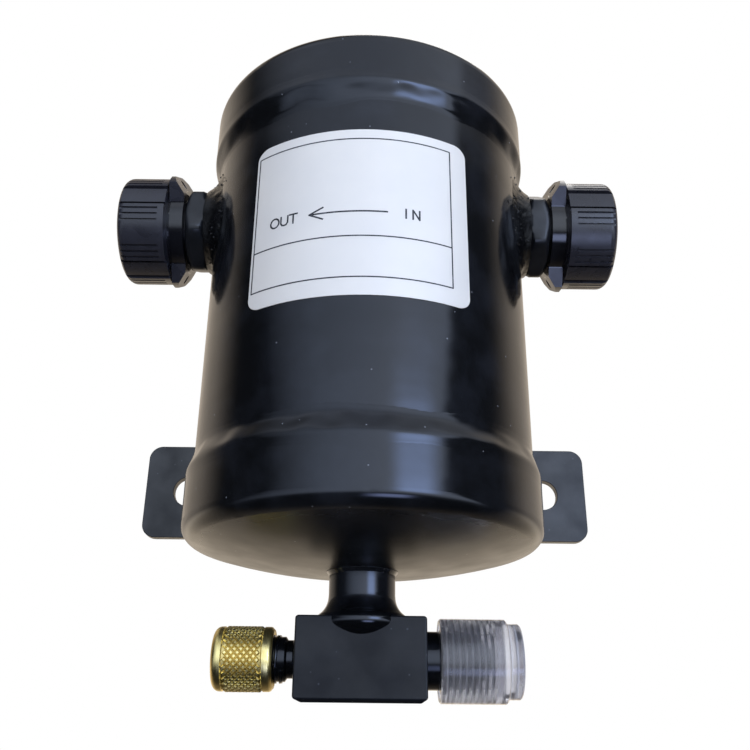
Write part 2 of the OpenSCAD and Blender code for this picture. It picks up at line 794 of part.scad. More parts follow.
module port_screen() {
    difference() {
        translate([0, 0, shank_in - screen_len]) cylinder(d = screen_d, h = screen_len);
        translate([0, 0, shank_in - screen_len + screen_sheet])
            cylinder(r = screen_d / 2 - screen_sheet, h = screen_len);
        for (turn = [0 : 45 : 135])
            for (row = [0 : 2])
                rotate([0, 0, turn])
                    translate([0, 0, shank_in - screen_len + window_margin + (row + 0.5) * window_pitch])
                        cube([2 * screen_d, window_w, window_pitch - window_bar], center = true);
    }
}

module inlet_screen() {
    color("#9aa0a6") seated() on_port(1) port_screen();
}

module outlet_screen() {
    color("#9aa0a6") seated() on_port(-1) port_screen();
}

module centre_baffle() {
    color("#8b9097") seated() translate([-baffle_sheet / 2, -baffle_half, baffle_low])
        cube([baffle_sheet, 2 * baffle_half, tube_high - baffle_drop - baffle_low]);
}

module sump_baffle() {
    color("#8b9097") seated() difference() {
        translate([0, 0, sump_h]) cylinder(r = tube_in - baffle_gap, h = baffle_sheet);
        translate([0, 0, sump_h - 1]) cylinder(d = middle_hole_d, h = baffle_sheet + 2);
        for (turn = [0 : 45 : 315])
            rotate([0, 0, turn]) translate([drain_ring_d / 2, 0, sump_h - 1])
                cylinder(d = drain_hole_d, h = baffle_sheet + 2);
    }
}

module valve_seat() {
    color("#c9a84c") seated() difference() {
        translate([0, 0, stem_top]) cylinder(d = seat_d, h = seat_h);
        translate([0, 0, stem_top - 1]) cylinder(d = orifice_d, h = seat_h + 2);
        translate([0, 0, seat_top - seat_cone])
            cylinder(r1 = orifice_d / 2, r2 = needle_r + seat_play, h = seat_cone + eps, $fn = 72);
    }
}

module float_bracket() {
    color("#9aa0a6") seated() difference() {
        union() {
            translate([-pivot_x - foot_back, -ear_in - bracket_sheet, seat_top])
                cube([pivot_x + foot_back + foot_front, 2 * (ear_in + bracket_sheet), bracket_sheet]);
            for (side = [-1, 1])
                translate([-pivot_x, side * (ear_in + bracket_sheet / 2), 0]) rotate([90, 0, 0]) {
                    translate([-ear_r, seat_top, -bracket_sheet / 2])
                        cube([2 * ear_r, pivot_rise, bracket_sheet]);
                    translate([0, pivot_z, -bracket_sheet / 2]) cylinder(r = ear_r, h = bracket_sheet);
                }
        }
        translate([0, 0, seat_top - 1]) cylinder(r = needle_r + needle_fit, h = bracket_sheet + 2);
        translate([-pivot_x, 0, pivot_z]) rotate([90, 0, 0])
            cylinder(r = pivot_d / 2 + ear_fit, h = 4 * ear_in, center = true);
    }
}

module pivot_pin() {
    color("#b9bdc2") seated() translate([-pivot_x, 0, pivot_z]) rotate([90, 0, 0])
        cylinder(d = pivot_d, h = 2 * (ear_in + bracket_sheet + pivot_end), center = true);
}

module float_arm() {
    color("#9aa0a6") seated() difference() {
        union() {
            translate([-pivot_x, -arm_w / 2, pivot_z - arm_t / 2])
                cube([pivot_x + float_x + arm_end, arm_w, arm_t]);
            translate([-pivot_x, 0, pivot_z]) rotate([90, 0, 0])
                cylinder(r = eye_r, h = arm_w, center = true);
        }
        translate([-pivot_x, 0, pivot_z]) rotate([90, 0, 0])
            cylinder(r = pivot_d / 2 + pivot_fit, h = 2 * arm_w, center = true);
        translate([0, 0, pivot_z]) cube([slot_len, slot_w, 3 * arm_t], center = true);
    }
}

module float_ball() {
    color("#b9bdc2") seated() translate([float_x, 0, pivot_z]) {
        translate([0, 0, float_rise]) sphere(d = float_d, $fn = 96);
        translate([0, 0, arm_t / 2]) cylinder(d = stalk_d, h = float_rise - arm_t / 2);
    }
}

module needle() {
    color("#b9bdc2") seated() {
        translate([0, 0, seat_top - tip_len]) cylinder(r1 = tip_r, r2 = needle_r, h = tip_len, $fn = 72);
        translate([0, 0, seat_top - eps])
            cylinder(r = needle_r, h = pivot_z - collar_play - needle_collar_t / 2 - seat_top);
        translate([0, 0, pivot_z - collar_play - needle_collar_t])
            cylinder(d = needle_collar_d, h = needle_collar_t);
        translate([0, 0, pivot_z - collar_play - eps])
            cylinder(d = needle_stem_d, h = 2 * collar_play + 2 * eps);
        translate([0, 0, pivot_z + collar_play]) cylinder(d = needle_collar_d, h = needle_collar_t);
    }
}

shell_tube();
top_cap();
bottom_cap();
top_seam_weld();
bottom_seam_weld();
mounting_plate();
plate_weld_left();
plate_weld_right();
inlet_fitting();
outlet_fitting();
inlet_weld();
outlet_weld();
inlet_dust_cap();
outlet_dust_cap();
oil_stem();
stem_weld_ring();
stem_braze();
tee_block();
service_port();
valve_core();
valve_pin();
service_cap();
service_gasket();
return_port();
return_cap();
label();
inlet_screen();
outlet_screen();
centre_baffle();
sump_baffle();
valve_seat();
float_bracket();
pivot_pin();
float_arm();
float_ball();
needle();
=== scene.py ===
"""Looks, stage and camera for a refrigeration oil separator.

The packed part is the frame, and each operator dresses one piece or group of like pieces.
Everything is in metres in the part's own frame: the plate's back is at y = 0, the front is -Y and up is +Z.
"""

import math

import bmesh
import bpy
from mathutils import Matrix, Vector, noise


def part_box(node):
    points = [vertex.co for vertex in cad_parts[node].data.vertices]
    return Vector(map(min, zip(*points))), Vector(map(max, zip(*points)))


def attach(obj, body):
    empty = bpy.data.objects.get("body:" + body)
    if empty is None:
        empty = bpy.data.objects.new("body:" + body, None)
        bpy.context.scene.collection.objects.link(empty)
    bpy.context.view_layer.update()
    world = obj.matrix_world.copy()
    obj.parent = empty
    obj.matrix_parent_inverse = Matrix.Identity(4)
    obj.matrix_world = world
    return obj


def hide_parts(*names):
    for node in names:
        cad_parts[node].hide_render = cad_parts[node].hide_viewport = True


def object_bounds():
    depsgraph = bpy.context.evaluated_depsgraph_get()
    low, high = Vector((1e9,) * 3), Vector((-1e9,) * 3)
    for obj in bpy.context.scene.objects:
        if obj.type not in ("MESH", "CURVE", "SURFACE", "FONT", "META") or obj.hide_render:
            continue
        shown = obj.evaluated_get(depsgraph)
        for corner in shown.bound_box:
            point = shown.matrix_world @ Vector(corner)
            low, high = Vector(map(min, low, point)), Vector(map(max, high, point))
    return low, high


bl_info = {
    "name": "Oil Separator",
    "version": (1, 0, 0),
    "blender": (4, 5, 0),
    "location": "3D View > Sidebar > Separator",
    "description": "Dresses the packed oil separator and sets up its stage",
    "category": "Object",
}

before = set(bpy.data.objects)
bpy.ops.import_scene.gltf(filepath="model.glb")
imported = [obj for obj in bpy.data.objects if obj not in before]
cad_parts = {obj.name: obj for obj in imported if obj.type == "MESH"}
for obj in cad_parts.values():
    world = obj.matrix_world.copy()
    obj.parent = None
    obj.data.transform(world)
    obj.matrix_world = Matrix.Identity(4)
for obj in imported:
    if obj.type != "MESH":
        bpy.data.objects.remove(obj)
CAD_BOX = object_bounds()
MM = 0.001


def middle(node):
    """The middle of a CAD node's box."""
    low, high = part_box(node)
    return (low + high) / 2


def reach(node, axis):
    """Half of a CAD node's width along one axis."""
    low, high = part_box(node)
    return (high[axis] - low[axis]) / 2


# The vessel's axis and the heights and radii that the pieces share
AXIS = middle("shell_tube")
TUBE_R = reach("shell_tube", 0)
SKIRT_R = reach("bottom_cap", 0)
PORT_Z = middle("inlet_fitting").z
TEE_Z = middle("service_port").z
LOWER_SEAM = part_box("bottom_seam_weld")[0].z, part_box("bottom_seam_weld")[1].z
UPPER_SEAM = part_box("top_seam_weld")[1].z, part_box("top_seam_weld")[0].z
# Stations round a seam and round a port weld
SEAM_STEPS, WELD_STEPS = 540, 300


def linear(code):
    """Linear red, green and blue of an sRGB hex value."""
    parts = [int(code[i:i + 2], 16) / 255 for i in (1, 3, 5)]
    return tuple(c / 12.92 if c <= 0.04045 else ((c + 0.055) / 1.055) ** 2.4 for c in parts)


def length(name, default, description):
    """A size in metres that a user may change."""
    return bpy.props.FloatProperty(name=name, description=description, default=default, min=0.0,
                                   precision=6, subtype="DISTANCE", unit="LENGTH")


def colour(name, code, description):
    """A colour that a user may change, given as sRGB hex."""
    return bpy.props.FloatVectorProperty(name=name, description=description, default=linear(code),
                                         size=3, min=0.0, max=1.0, subtype="COLOR")


def number(name, default, description):
    """A plain number that a user may change."""
    return bpy.props.FloatProperty(name=name, description=description, default=default)


class ShellLook(bpy.types.PropertyGroup):
    """Enamel and welds of the shell, the plate and the ports."""

    enamel: colour("Enamel", "#0a0b0d", "Gloss black enamel on the shell and the ports")
    dust: colour("Dust", "#1b1d22", "Thin film of dust on the gloss enamel")
    satin: colour("Satin enamel", "#101216", "Satin black enamel on the plate and the tee")
    ripple: length("Ripple", 7.0 * MM, "Height of the ripples that run round the drawn sheet")
    peel: length("Orange peel", 2.4 * MM, "Spacing of the waves in the gloss enamel")
    seam_lump: length("Seam lump", 0.3 * MM, "Height of the ripples on the two seam welds")
    port_lump: length("Port weld lump", 0.22 * MM, "Height of the lumps on the port welds")
    port_toe: length("Port weld toe", 13.3 * MM, "Radius of a port weld above and below its port")
    port_spread: length("Port weld spread", 6.8 * MM, "How much wider a port weld is at its front and back")
    spatter: length("Spatter", 0.26 * MM, "Radius of the weld spatter round the ports")
    plate_edge: length("Plate edge", 0.4 * MM, "Rounding of the plate's sheared edges")
    hex_edge: length("Hexagon edge", 0.8 * MM, "Rounding of the hexagons' edges under the paint")


class PortLook(bpy.types.PropertyGroup):
    """Threads and moulded caps of the side ports."""

    plastic: colour("Plastic", "#1f1f25", "Moulded black plastic of the dust caps")
    edge: length("Moulded edge", 0.22 * MM, "Rounding of the dust caps' edges")
    collar: length("Collar", 4.4 * MM, "Length of the dust caps' plain collar")
    collar_r: length("Collar radius", 11.6 * MM, "Radius of the dust caps' plain collar")
    pitch: length("Thread pitch", 1.5 * MM, "Pitch of the side ports' threads")
    ridge: length("Thread ridge", 0.62 * MM, "Height of the side ports' thread ridges")


class TeeLook(bpy.types.PropertyGroup):
    """Tee block, its two ports and their caps."""

    brass: colour("Brass", "#f1df9a", "Turned yellow brass of the service cap")
    tarnish: colour("Tarnish", "#dcc578", "Darker brass in the knurl and at the edges")
    clear: colour("Clear plastic", "#dcdce2", "Frosted plastic of the oil return cap")
    flare_height: length("Flare height", 5.4 * MM, "Height of the braze flare above the tee block")
    flare_roll: length("Flare roll", 2.2 * MM, "Radius of the braze where it rolls over the block's edge")
    flare_drip: length("Flare drip", 4.5 * MM, "How far the braze runs down the block's face")
    block_edge: length("Block edge", 0.45 * MM, "Rounding of the tee block's edges")
    cap_edge: length("Clear cap edge", 0.35 * MM, "Rounding of the clear cap's edges")
    service_pitch: length("Service pitch", 1.27 * MM, "Pitch of the service port's thread")
    return_pitch: length("Return pitch", 1.45 * MM, "Pitch of the oil return port's thread")
    knurl: length("Knurl", 1.55 * MM, "Width of one diamond of the knurl")
    knurl_height: length("Knurl height", 0.5 * MM, "Height of one diamond of the knurl")


class LabelLook(bpy.types.PropertyGroup):
    """Sticker on the front of the shell and its print."""

    film: colour("Film", "#e6e1d9", "Silver-white polyester film")
    ink: colour("Ink", "#1b1c21", "Black printing ink")
    line: length("Line", 0.34 * MM, "Width of the frame lines")
    stroke: length("Stroke", 0.43 * MM, "Width of the strokes of the letters and the arrow")
    letter: length("Letter height", 2.5 * MM, "Height of the letters beside the flow arrow")


class StageLook(bpy.types.PropertyGroup):
    """Camera, floor and light."""

    lens: number("Lens", 860 / 750 * 36, "Focal length of the camera, in millimetres on a 36 mm sensor")
    pitch: bpy.props.FloatProperty(name="Pitch", description="How far the camera looks up",
                                   default=math.radians(22.87), subtype="ANGLE", unit="ROTATION")
    roll: bpy.props.FloatProperty(name="Roll", description="Turn of the camera about its own view",
                                  default=math.radians(0.64), subtype="ANGLE", unit="ROTATION")
    place: bpy.props.FloatVectorProperty(name="Camera place", description="Place of the camera",
                                         default=(2.53 * MM, -258.79 * MM, -68.71 * MM), precision=5,
                                         subtype="TRANSLATION", unit="LENGTH")
    floor: colour("Floor", "#f1efec", "Pale floor below the part")
    floor_drop: length("Floor drop", 32 * MM, "Distance of the floor below the part")
    room: number("Room", 2.4, "Brightness of the brightest part of the room")
    lamp: number("Lamp", 2.0, "Brightness of the lamp over the part")


def fill(tree, node, inputs):
    """Fills a node's inputs with values or with other nodes' outputs."""
    for key, value in inputs.items():
        if isinstance(value, bpy.types.NodeSocket):
            tree.links.new(value, node.inputs[key])
        else:
            node.inputs[key].default_value = value


def add(tree, kind, inputs=None, **settings):
    """Adds a node, sets its fields and fills its inputs."""
    node = tree.nodes.new(kind)
    for key, value in settings.items():
        setattr(node, key, value)
    fill(tree, node, inputs or {})
    return node


def maths(tree, operation, *values):
    """A number worked out from others."""
    return add(tree, "ShaderNodeMath", dict(enumerate(values)), operation=operation).outputs[0]


def vectors(tree, operation, *values):
    """A vector worked out from others."""
    return add(tree, "ShaderNodeVectorMath", dict(enumerate(values)), operation=operation).outputs[0]


def remap(tree, value, low, high, least=0.0, most=1.0, **settings):
    """A number moved from the span low to high into the span least to most."""
    return add(tree, "ShaderNodeMapRange", {"Value": value, "From Min": low, "From Max": high,
                                            "To Min": least, "To Max": most}, **settings).outputs[0]


def waves(tree, place, width, detail, **more):
    """Noise whose waves have that width in metres."""
    return add(tree, "ShaderNodeTexNoise", {"Vector": place, "Scale": 1 / width, "Detail": detail,
                                            **more}).outputs["Fac"]


def specks(tree, place, apart):
    """Distance from scattered points, as a share of the metres that they are apart."""
    return add(tree, "ShaderNodeTexVoronoi", {"Vector": place, "Scale": 1 / apart,
                                              "Randomness": 1.0}).outputs["Distance"]


def bands(tree, place, pitch, distortion):
    """Lines across X at a pitch in metres."""
    return add(tree, "ShaderNodeTexWave", {"Vector": place, "Scale": math.pi / (10 * pitch),
                                           "Distortion": distortion, "Detail": 2.0},
               bands_direction="X").outputs["Fac"]


def tint(value):
    """A colour with full alpha from sRGB hex or linear values, or another node's output as it is."""
    if isinstance(value, bpy.types.NodeSocket):
        return value
    return (*(linear(value) if isinstance(value, str) else value), 1.0)


def blend(tree, share, first, second, **settings):
    """A colour between two others."""
    return add(tree, "ShaderNodeMix", {0: share, 6: tint(first), 7: tint(second)}, data_type="RGBA",
               **settings).outputs[2]


def bump(tree, height, depth, under=None):
    """A normal for a relief of that depth, over another relief if there is one."""
    inputs = {"Strength": 1.0, "Distance": depth, "Height": height}
    if under is not None:
        inputs["Normal"] = under
    return add(tree, "ShaderNodeBump", inputs).outputs[0]


def new_finish(name):
    """A new material, its tree, its shader and its Object coordinates."""
    made = bpy.data.materials.new(name)
    made.use_nodes = True
    tree = made.node_tree
    return made, tree, tree.nodes["Principled BSDF"], add(tree, "ShaderNodeTexCoord").outputs["Object"]


def along_axis(tree, place, axis):
    """One coordinate of a point."""
    return add(tree, "ShaderNodeSeparateXYZ", {0: place}).outputs[axis]


def from_line(tree, place, height):
    """Distance of a point from the line along X through the vessel's axis at a height."""
    off = vectors(tree, "SUBTRACT", place, (0, AXIS.y, height))
    flat = vectors(tree, "MULTIPLY", off, (0, 1, 1))
    return add(tree, "ShaderNodeVectorMath", {0: flat}, operation="LENGTH").outputs["Value"]


# The span that most of a noise's values lie in, and its upper part
USUAL = 0.3, 0.7
UPPER = 0.45, 0.75


def gloss_enamel(name="gloss_black_enamel", under=0.0):
    """Gloss black enamel sprayed on steel: deep black, soft wavy reflections and a thin film of dust.

    under is how much duller the dry overspray makes a cap's underside.
    """
    look = bpy.context.scene.separator_shell
    if name in bpy.data.materials:
        return bpy.data.materials[name]
    made, tree, shader, place = new_finish(name)
    film = waves(tree, place, 16 * MM, 5.0, Roughness=0.62)
    tone = blend(tree, remap(tree, film, *UPPER), look.enamel, look.dust)
    # Pale specks of dust, up to about 0.4 mm across and far apart
    speck = remap(tree, specks(tree, place, 4.2 * MM), 0.03, 0.055, 0.55, 0.0)
    # Wiped and handled patches are a little duller than the rest
    dull = remap(tree, waves(tree, place, 9 * MM, 3.0), *USUAL, 0.1, 0.17)
    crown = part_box("bottom_cap")[0].z
    dry = remap(tree, along_axis(tree, place, "Z"), crown + 4 * MM, crown + 8 * MM, under, 0.0)
    # Two sizes of wave: the drawn sheet's slow ripple and the paint's orange peel
    round_it = vectors(tree, "MULTIPLY", place, (0.35, 0.35, 1.0))
    sheet = bump(tree, waves(tree, round_it, look.ripple, 0.5), 0.11 * MM)
    fill(tree, shader, {
        "Base Color": blend(tree, speck, tone, "#8f9299"),
        "Specular Tint": tint("#eef3ff"),
        "Roughness": maths(tree, "ADD", dull, dry),
        "Normal": bump(tree, waves(tree, place, look.peel, 2.0), 0.006 * MM, sheet)})
    return made


def satin_enamel(name, sheen, bottom=-1.0):
    """Satin black enamel on plate and machined steel: dull blue-grey sheen, fine grain and a few pale nibs.

    bottom is the height of an underside whose sheen is taken off as painted shade, so that it shows dark with
    no sheen.
    """
    look = bpy.context.scene.separator_shell
    if name in bpy.data.materials:
        return bpy.data.materials[name]
    made, tree, shader, place = new_finish(name)
    patch = remap(tree, waves(tree, place, 9 * MM, 3.0), *USUAL, 0.7 * sheen, 1.25 * sheen)
    # Painted shade: no sheen on the underside, so that it shows dark as if in the block's shadow
    wet = remap(tree, along_axis(tree, place, "Z"), bottom + 0.15 * MM, bottom + 0.5 * MM)
    cloud = waves(tree, place, 6 * MM, 6.0, Roughness=0.65)
    tone = blend(tree, cloud, look.satin, look.dust)
    # Dust nibs caught in the paint, about half a millimetre across and far apart
    nib = remap(tree, specks(tree, place, 3.2 * MM), 0.05, 0.09, 0.5, 0.0)
    fill(tree, shader, {
        "Base Color": blend(tree, nib, tone, "#4a4f59"),
        "Specular IOR Level": maths(tree, "MULTIPLY", patch, wet),
        "Roughness": remap(tree, cloud, *USUAL, 0.3, 0.42),
        "Normal": bump(tree, waves(tree, place, 0.9 * MM, 3.0), 0.012 * MM)})
    return made


def weld_enamel(name="weld_black_enamel"):
    """Black enamel over weld metal: gloss on lumps, dull and dark in the pits."""
    look = bpy.context.scene.separator_shell
    if name in bpy.data.materials:
        return bpy.data.materials[name]
    made, tree, shader, place = new_finish(name)
    pits = waves(tree, place, 1.2 * MM, 6.0, Roughness=0.7)
    fill(tree, shader, {
        "Base Color": blend(tree, pits, "#060607", look.enamel),
        "Roughness": remap(tree, pits, *USUAL, 0.12, 0.3),
        "Normal": bump(tree, pits, 0.12 * MM)})
    return made


def moulded_plastic(name="moulded_black_polyethylene"):
    """Moulded black polyethylene: blue-grey sheen, faint flow marks and a fine spark-eroded grain."""
    look = bpy.context.scene.separator_port
    if name in bpy.data.materials:
        return bpy.data.materials[name]
    made, tree, shader, place = new_finish(name)
    flow = waves(tree, place, 5 * MM, 4.0, Distortion=0.6)
    tone = blend(tree, flow, look.plastic, "#2b2b33")
    dull = remap(tree, flow, *USUAL, 0.24, 0.36)
    # The plain collar next to the hexagon is polished, so it shines more; it is also painted blacker, as
    # painted shade in its recess between the drum and the hexagon
    fade = 0.2 * MM
    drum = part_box("inlet_dust_cap")[0].x + look.collar
    along = remap(tree, maths(tree, "ABSOLUTE", along_axis(tree, place, "X")), drum - fade, drum)
    out = remap(tree, from_line(tree, place, PORT_Z), look.collar_r, look.collar_r + fade)
    polish = remap(tree, maths(tree, "MAXIMUM", along, out), 0.0, 1.0, 0.3, 1.0)
    fill(tree, shader, {
        "Base Color": blend(tree, polish, "#070708", tone),
        "Roughness": maths(tree, "MULTIPLY", dull, polish),
        "Normal": bump(tree, waves(tree, place, 0.5 * MM, 2.0), 0.008 * MM)})
    return made


def turned_brass(name="turned_yellow_brass"):
    """Turned yellow brass: pale bright metal with fine lathe lines and a little tarnish."""
    look = bpy.context.scene.separator_tee
    if name in bpy.data.materials:
        return bpy.data.materials[name]
    made, tree, shader, place = new_finish(name)
    stain = waves(tree, place, 2.5 * MM, 5.0, Roughness=0.6)
    tone = blend(tree, remap(tree, stain, *UPPER), look.brass, look.tarnish)
    # The bottom of the knurl's grooves is painted darker, as painted shade in the grooves
    rim = reach("service_cap", 2)
    deep = remap(tree, from_line(tree, place, TEE_Z), rim - 0.32 * MM, rim - 0.16 * MM, 0.5, 0.0)
    # Lathe lines run round the tee's axis, drawn 0.6 mm apart so that they show
    lines = bands(tree, place, 0.6 * MM, 0.4)
    fill(tree, shader, {
        # deep is the painted shade at the bottom of the knurl's grooves
        "Base Color": blend(tree, deep, tone, "#b0934c"),
        "Metallic": 1.0,
        "Roughness": remap(tree, stain, *USUAL, 0.3, 0.42),
        "Normal": bump(tree, lines, 0.004 * MM)})
    return made


def frosted_plastic(name="frosted_polyethylene"):
    """Moulded low-density polyethylene: milky clear, so the thread inside shows soft and grey."""
    look = bpy.context.scene.separator_tee
    if name in bpy.data.materials:
        return bpy.data.materials[name]
    made, tree, shader, place = new_finish(name)
    milk = waves(tree, place, 4 * MM, 4.0)
    # The thread moulded inside shows as whitish lines at its pitch
    inner = maths(tree, "LESS_THAN", from_line(tree, place, TEE_Z), reach("return_cap", 2) - 0.9 * MM)
    crest = remap(tree, bands(tree, place, look.return_pitch, 0.3), 0.55, 0.95, 0.0, -0.3)
    fill(tree, shader, {
        "Base Color": blend(tree, milk, look.clear, "#cfcfd8"),
        "Roughness": remap(tree, milk, *USUAL, 0.11, 0.19),
        "Transmission Weight": maths(tree, "MULTIPLY_ADD", crest, inner, 0.93),
        "IOR": 1.5,
        "Normal": bump(tree, waves(tree, place, 0.8 * MM, 3.0), 0.01 * MM)})
    return made


def label_film(name="silver_polyester_film"):
    """Silver-white polyester label film: soft satin shine with a very fine grain."""
    look = bpy.context.scene.separator_label
    if name in bpy.data.materials:
        return bpy.data.materials[name]
    made, tree, shader, place = new_finish(name)
    grain = waves(tree, place, 0.7 * MM, 2.0)
    fill(tree, shader, {
        "Base Color": blend(tree, waves(tree, place, 12 * MM, 4.0), look.film, "#d8d5d1"),
        "Metallic": 0.15,
        "Roughness": remap(tree, grain, 0.0, 1.0, 0.36, 0.5),
        "Normal": bump(tree, grain, 0.004 * MM)})
    return made


def printing_ink(name="thermal_transfer_ink"):
    """Thermal transfer ink on film: dull near black, thinner in places."""
    look = bpy.context.scene.separator_label
    if name in bpy.data.materials:
        return bpy.data.materials[name]
    made, tree, shader, place = new_finish(name)
    thin = remap(tree, waves(tree, place, 1.5 * MM, 3.0), 0.5, 0.8)
    fill(tree, shader, {"Base Color": blend(tree, thin, look.ink, "#5b5e66"), "Roughness": 0.5})
    return made


def plain_metal(name, light, dark, rough, grit):
    """Bare worked metal, with tone and shine that vary over a grit given in millimetres."""
    if name in bpy.data.materials:
        return bpy.data.materials[name]
    made, tree, shader, place = new_finish(name)
    wear = waves(tree, place, grit * MM, 5.0, Roughness=0.6)
    fill(tree, shader, {
        "Base Color": blend(tree, wear, light, dark),
        "Metallic": 1.0,
        "Roughness": remap(tree, wear, 0.0, 1.0, rough - 0.1, rough + 0.1)})
    return made


def plain_moulding(name, light, dark, rough, grit):
    """A moulded rubber or plastic, with tone and grain over a grit given in millimetres."""
    if name in bpy.data.materials:
        return bpy.data.materials[name]
    made, tree, shader, place = new_finish(name)
    grain = waves(tree, place, grit * MM, 4.0)
    fill(tree, shader, {
        "Base Color": blend(tree, grain, light, dark),
        "Roughness": rough,
        "Normal": bump(tree, grain, 0.02 * MM)})
    return made


def paint(finish, *nodes):
    """Gives CAD nodes that are shown as they are their finish."""
    for node in nodes:
        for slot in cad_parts[node].material_slots:
            slot.material = finish


def keep(name, mesh, finish, slot, body, *nodes):
    """Makes a mesh a piece: one finish, one body to ride on, and the CAD nodes that it stands for."""
    mesh.name = name
    mesh.materials.clear()
    mesh.materials.append(finish)
    piece = bpy.data.objects.new(name, mesh)
    bpy.context.scene.collection.objects.link(piece)
    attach(piece, body)
    if nodes:
        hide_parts(*nodes)
    return piece


def closed_mesh(name, points, faces, smooth=40):
    """A mesh with its doubles merged, its faces outwards and its edges sharp past an angle."""
    mesh = bpy.data.meshes.new(name)
    mesh.from_pydata(points, [], faces)
    shape = bmesh.new()
    shape.from_mesh(mesh)
    bmesh.ops.remove_doubles(shape, verts=shape.verts, dist=0.001 * MM)
    bmesh.ops.recalc_face_normals(shape, faces=shape.faces)
    shape.to_mesh(mesh)
    shape.free()
    mesh.shade_smooth()
    mesh.set_sharp_from_angle(angle=math.radians(smooth))
    return mesh


def softened(node, width, segments=3):
    """A copy of a CAD node's mesh with its doubles merged and its edges rounded."""
    shape = bmesh.new()
    shape.from_mesh(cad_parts[node].data)
    bmesh.ops.remove_doubles(shape, verts=shape.verts, dist=0.0005 * MM)
    bmesh.ops.dissolve_limit(shape, angle_limit=math.radians(0.4), verts=shape.verts[:], edges=shape.edges[:])
    shape.verts.index_update()
    points = [v.co.copy() for v in shape.verts]
    faces = [[v.index for v in f.verts] for f in shape.faces]
    shape.free()
    mesh = bpy.data.meshes.new(node + "_soft")
    mesh.from_pydata(points, [], faces)
    mesh.shade_smooth()
    holder = bpy.data.objects.new(node + "_holder", mesh)
    bpy.context.scene.collection.objects.link(holder)
    round_off = holder.modifiers.new("Edges", "BEVEL")
    round_off.limit_method = "ANGLE"
    round_off.angle_limit = math.radians(32)
    round_off.width = width
    round_off.segments = segments
    round_off.harden_normals = True
    made = bpy.data.meshes.new_from_object(holder.evaluated_get(bpy.context.evaluated_depsgraph_get()))
    bpy.data.objects.remove(holder)
    return made


def ringed(name, rows, smooth=60):
    """A closed ring: one closed outline of points at each station round it."""
    total, count = len(rows), len(rows[0])
    faces = []
    for i in range(total):
        for k in range(count):
            a, b = i * count + k, i * count + (k + 1) % count
            c, d = (i + 1) % total * count + (k + 1) % count, (i + 1) % total * count + k
            faces.append((a, b, c, d))
    return closed_mesh(name, [point for row in rows for point in row], faces, smooth)


def turned(name, profile, start, along, steps=160, smooth=40, shape=None):
    """A turned piece: a closed profile of (radius, length) points spun about the X or Z axis.

    shape gives the radius at an angle from the first point, for a piece with flats.
    """
    across, other = Vector((0, 0, -along.x)) if along.x else Vector((1, 0, 0)), Vector((0, 1, 0))
    rows = []
    for i in range(steps):
        angle = 2 * math.pi * i / steps
        way = across * math.cos(angle) + other * math.sin(angle)
        rows.append([start + along * h + way * (shape(r, h, angle) if shape else r) for r, h in profile])
    return ringed(name, rows, smooth)


def new_growth(name, *sockets):
    """A geometry tree with named inputs, and its group input's outputs by name."""
    tree = bpy.data.node_groups.new(name, "GeometryNodeTree")
    tree.is_modifier = True
    tree.interface.new_socket("Geometry", in_out="OUTPUT", socket_type="NodeSocketGeometry")
    for title, kind in sockets:
        tree.interface.new_socket(title, in_out="INPUT", socket_type="NodeSocket" + kind)
    return tree, add(tree, "NodeGroupInput").outputs


def grown(tree, values, base=None):
    """Runs a geometry tree once and returns its result as a plain mesh."""
    holder = bpy.data.objects.new(tree.name + "_holder", base or bpy.data.meshes.new(tree.name))
    bpy.context.scene.collection.objects.link(holder)
    modifier = holder.modifiers.new("Growth", "NODES")
    modifier.node_group = tree
    for item in tree.interface.items_tree:
        if item.in_out == "INPUT" and item.name in values:
            modifier[item.identifier] = values[item.name]
    mesh = bpy.data.meshes.new_from_object(holder.evaluated_get(bpy.context.evaluated_depsgraph_get()))
    bpy.data.objects.remove(holder)
    return mesh


def realized(tree, geometry):
    """Instances as real geometry."""
    return add(tree, "GeometryNodeRealizeInstances", {0: geometry}).outputs[0]


def dress(tree, geometry, finish):
    """Ends a geometry tree: sets the material and gives the result out."""
    dressed = add(tree, "GeometryNodeSetMaterial", {"Geometry": geometry, "Material": finish})
    add(tree, "NodeGroupOutput", {0: dressed.outputs[0]})


def thread_growth():
    """Tree for a screw thread along X: a V ridge swept along a spiral."""
    if "screw_thread" in bpy.data.node_groups:
        return bpy.data.node_groups["screw_thread"]
    tree, given = new_growth("screw_thread", ("Radius", "Float"), ("Ridge", "Float"), ("Pitch", "Float"),
                             ("Turns", "Float"), ("Start", "Vector"), ("Finish", "Material"))
    rise = maths(tree, "MULTIPLY", given["Pitch"], given["Turns"])
    path = add(tree, "GeometryNodeCurveSpiral", {
        "Resolution": 72, "Rotations": given["Turns"], "Start Radius": given["Radius"],
        "End Radius": given["Radius"], "Height": rise})
    ridge = add(tree, "GeometryNodeCurvePrimitiveCircle", {"Resolution": 4, "Radius": given["Ridge"]})
    swept = add(tree, "GeometryNodeCurveToMesh", {
        "Curve": path.outputs[0], "Profile Curve": ridge.outputs[0], "Fill Caps": True})
    laid = add(tree, "GeometryNodeTransform", {
        "Geometry": swept.outputs[0], "Translation": given["Start"], "Rotation": (0, math.radians(90), 0)})
    dress(tree, realized(tree, laid.outputs[0]), given["Finish"])
    return tree


def thread(core, ridge, pitch, turns, start, height):
    """The ridge of a screw thread round a core, along X from a start at a height."""
    return grown(thread_growth(), {"Radius": core, "Ridge": ridge, "Pitch": pitch, "Turns": turns,
                                   "Start": (start, AXIS.y, height), "Finish": gloss_enamel()})


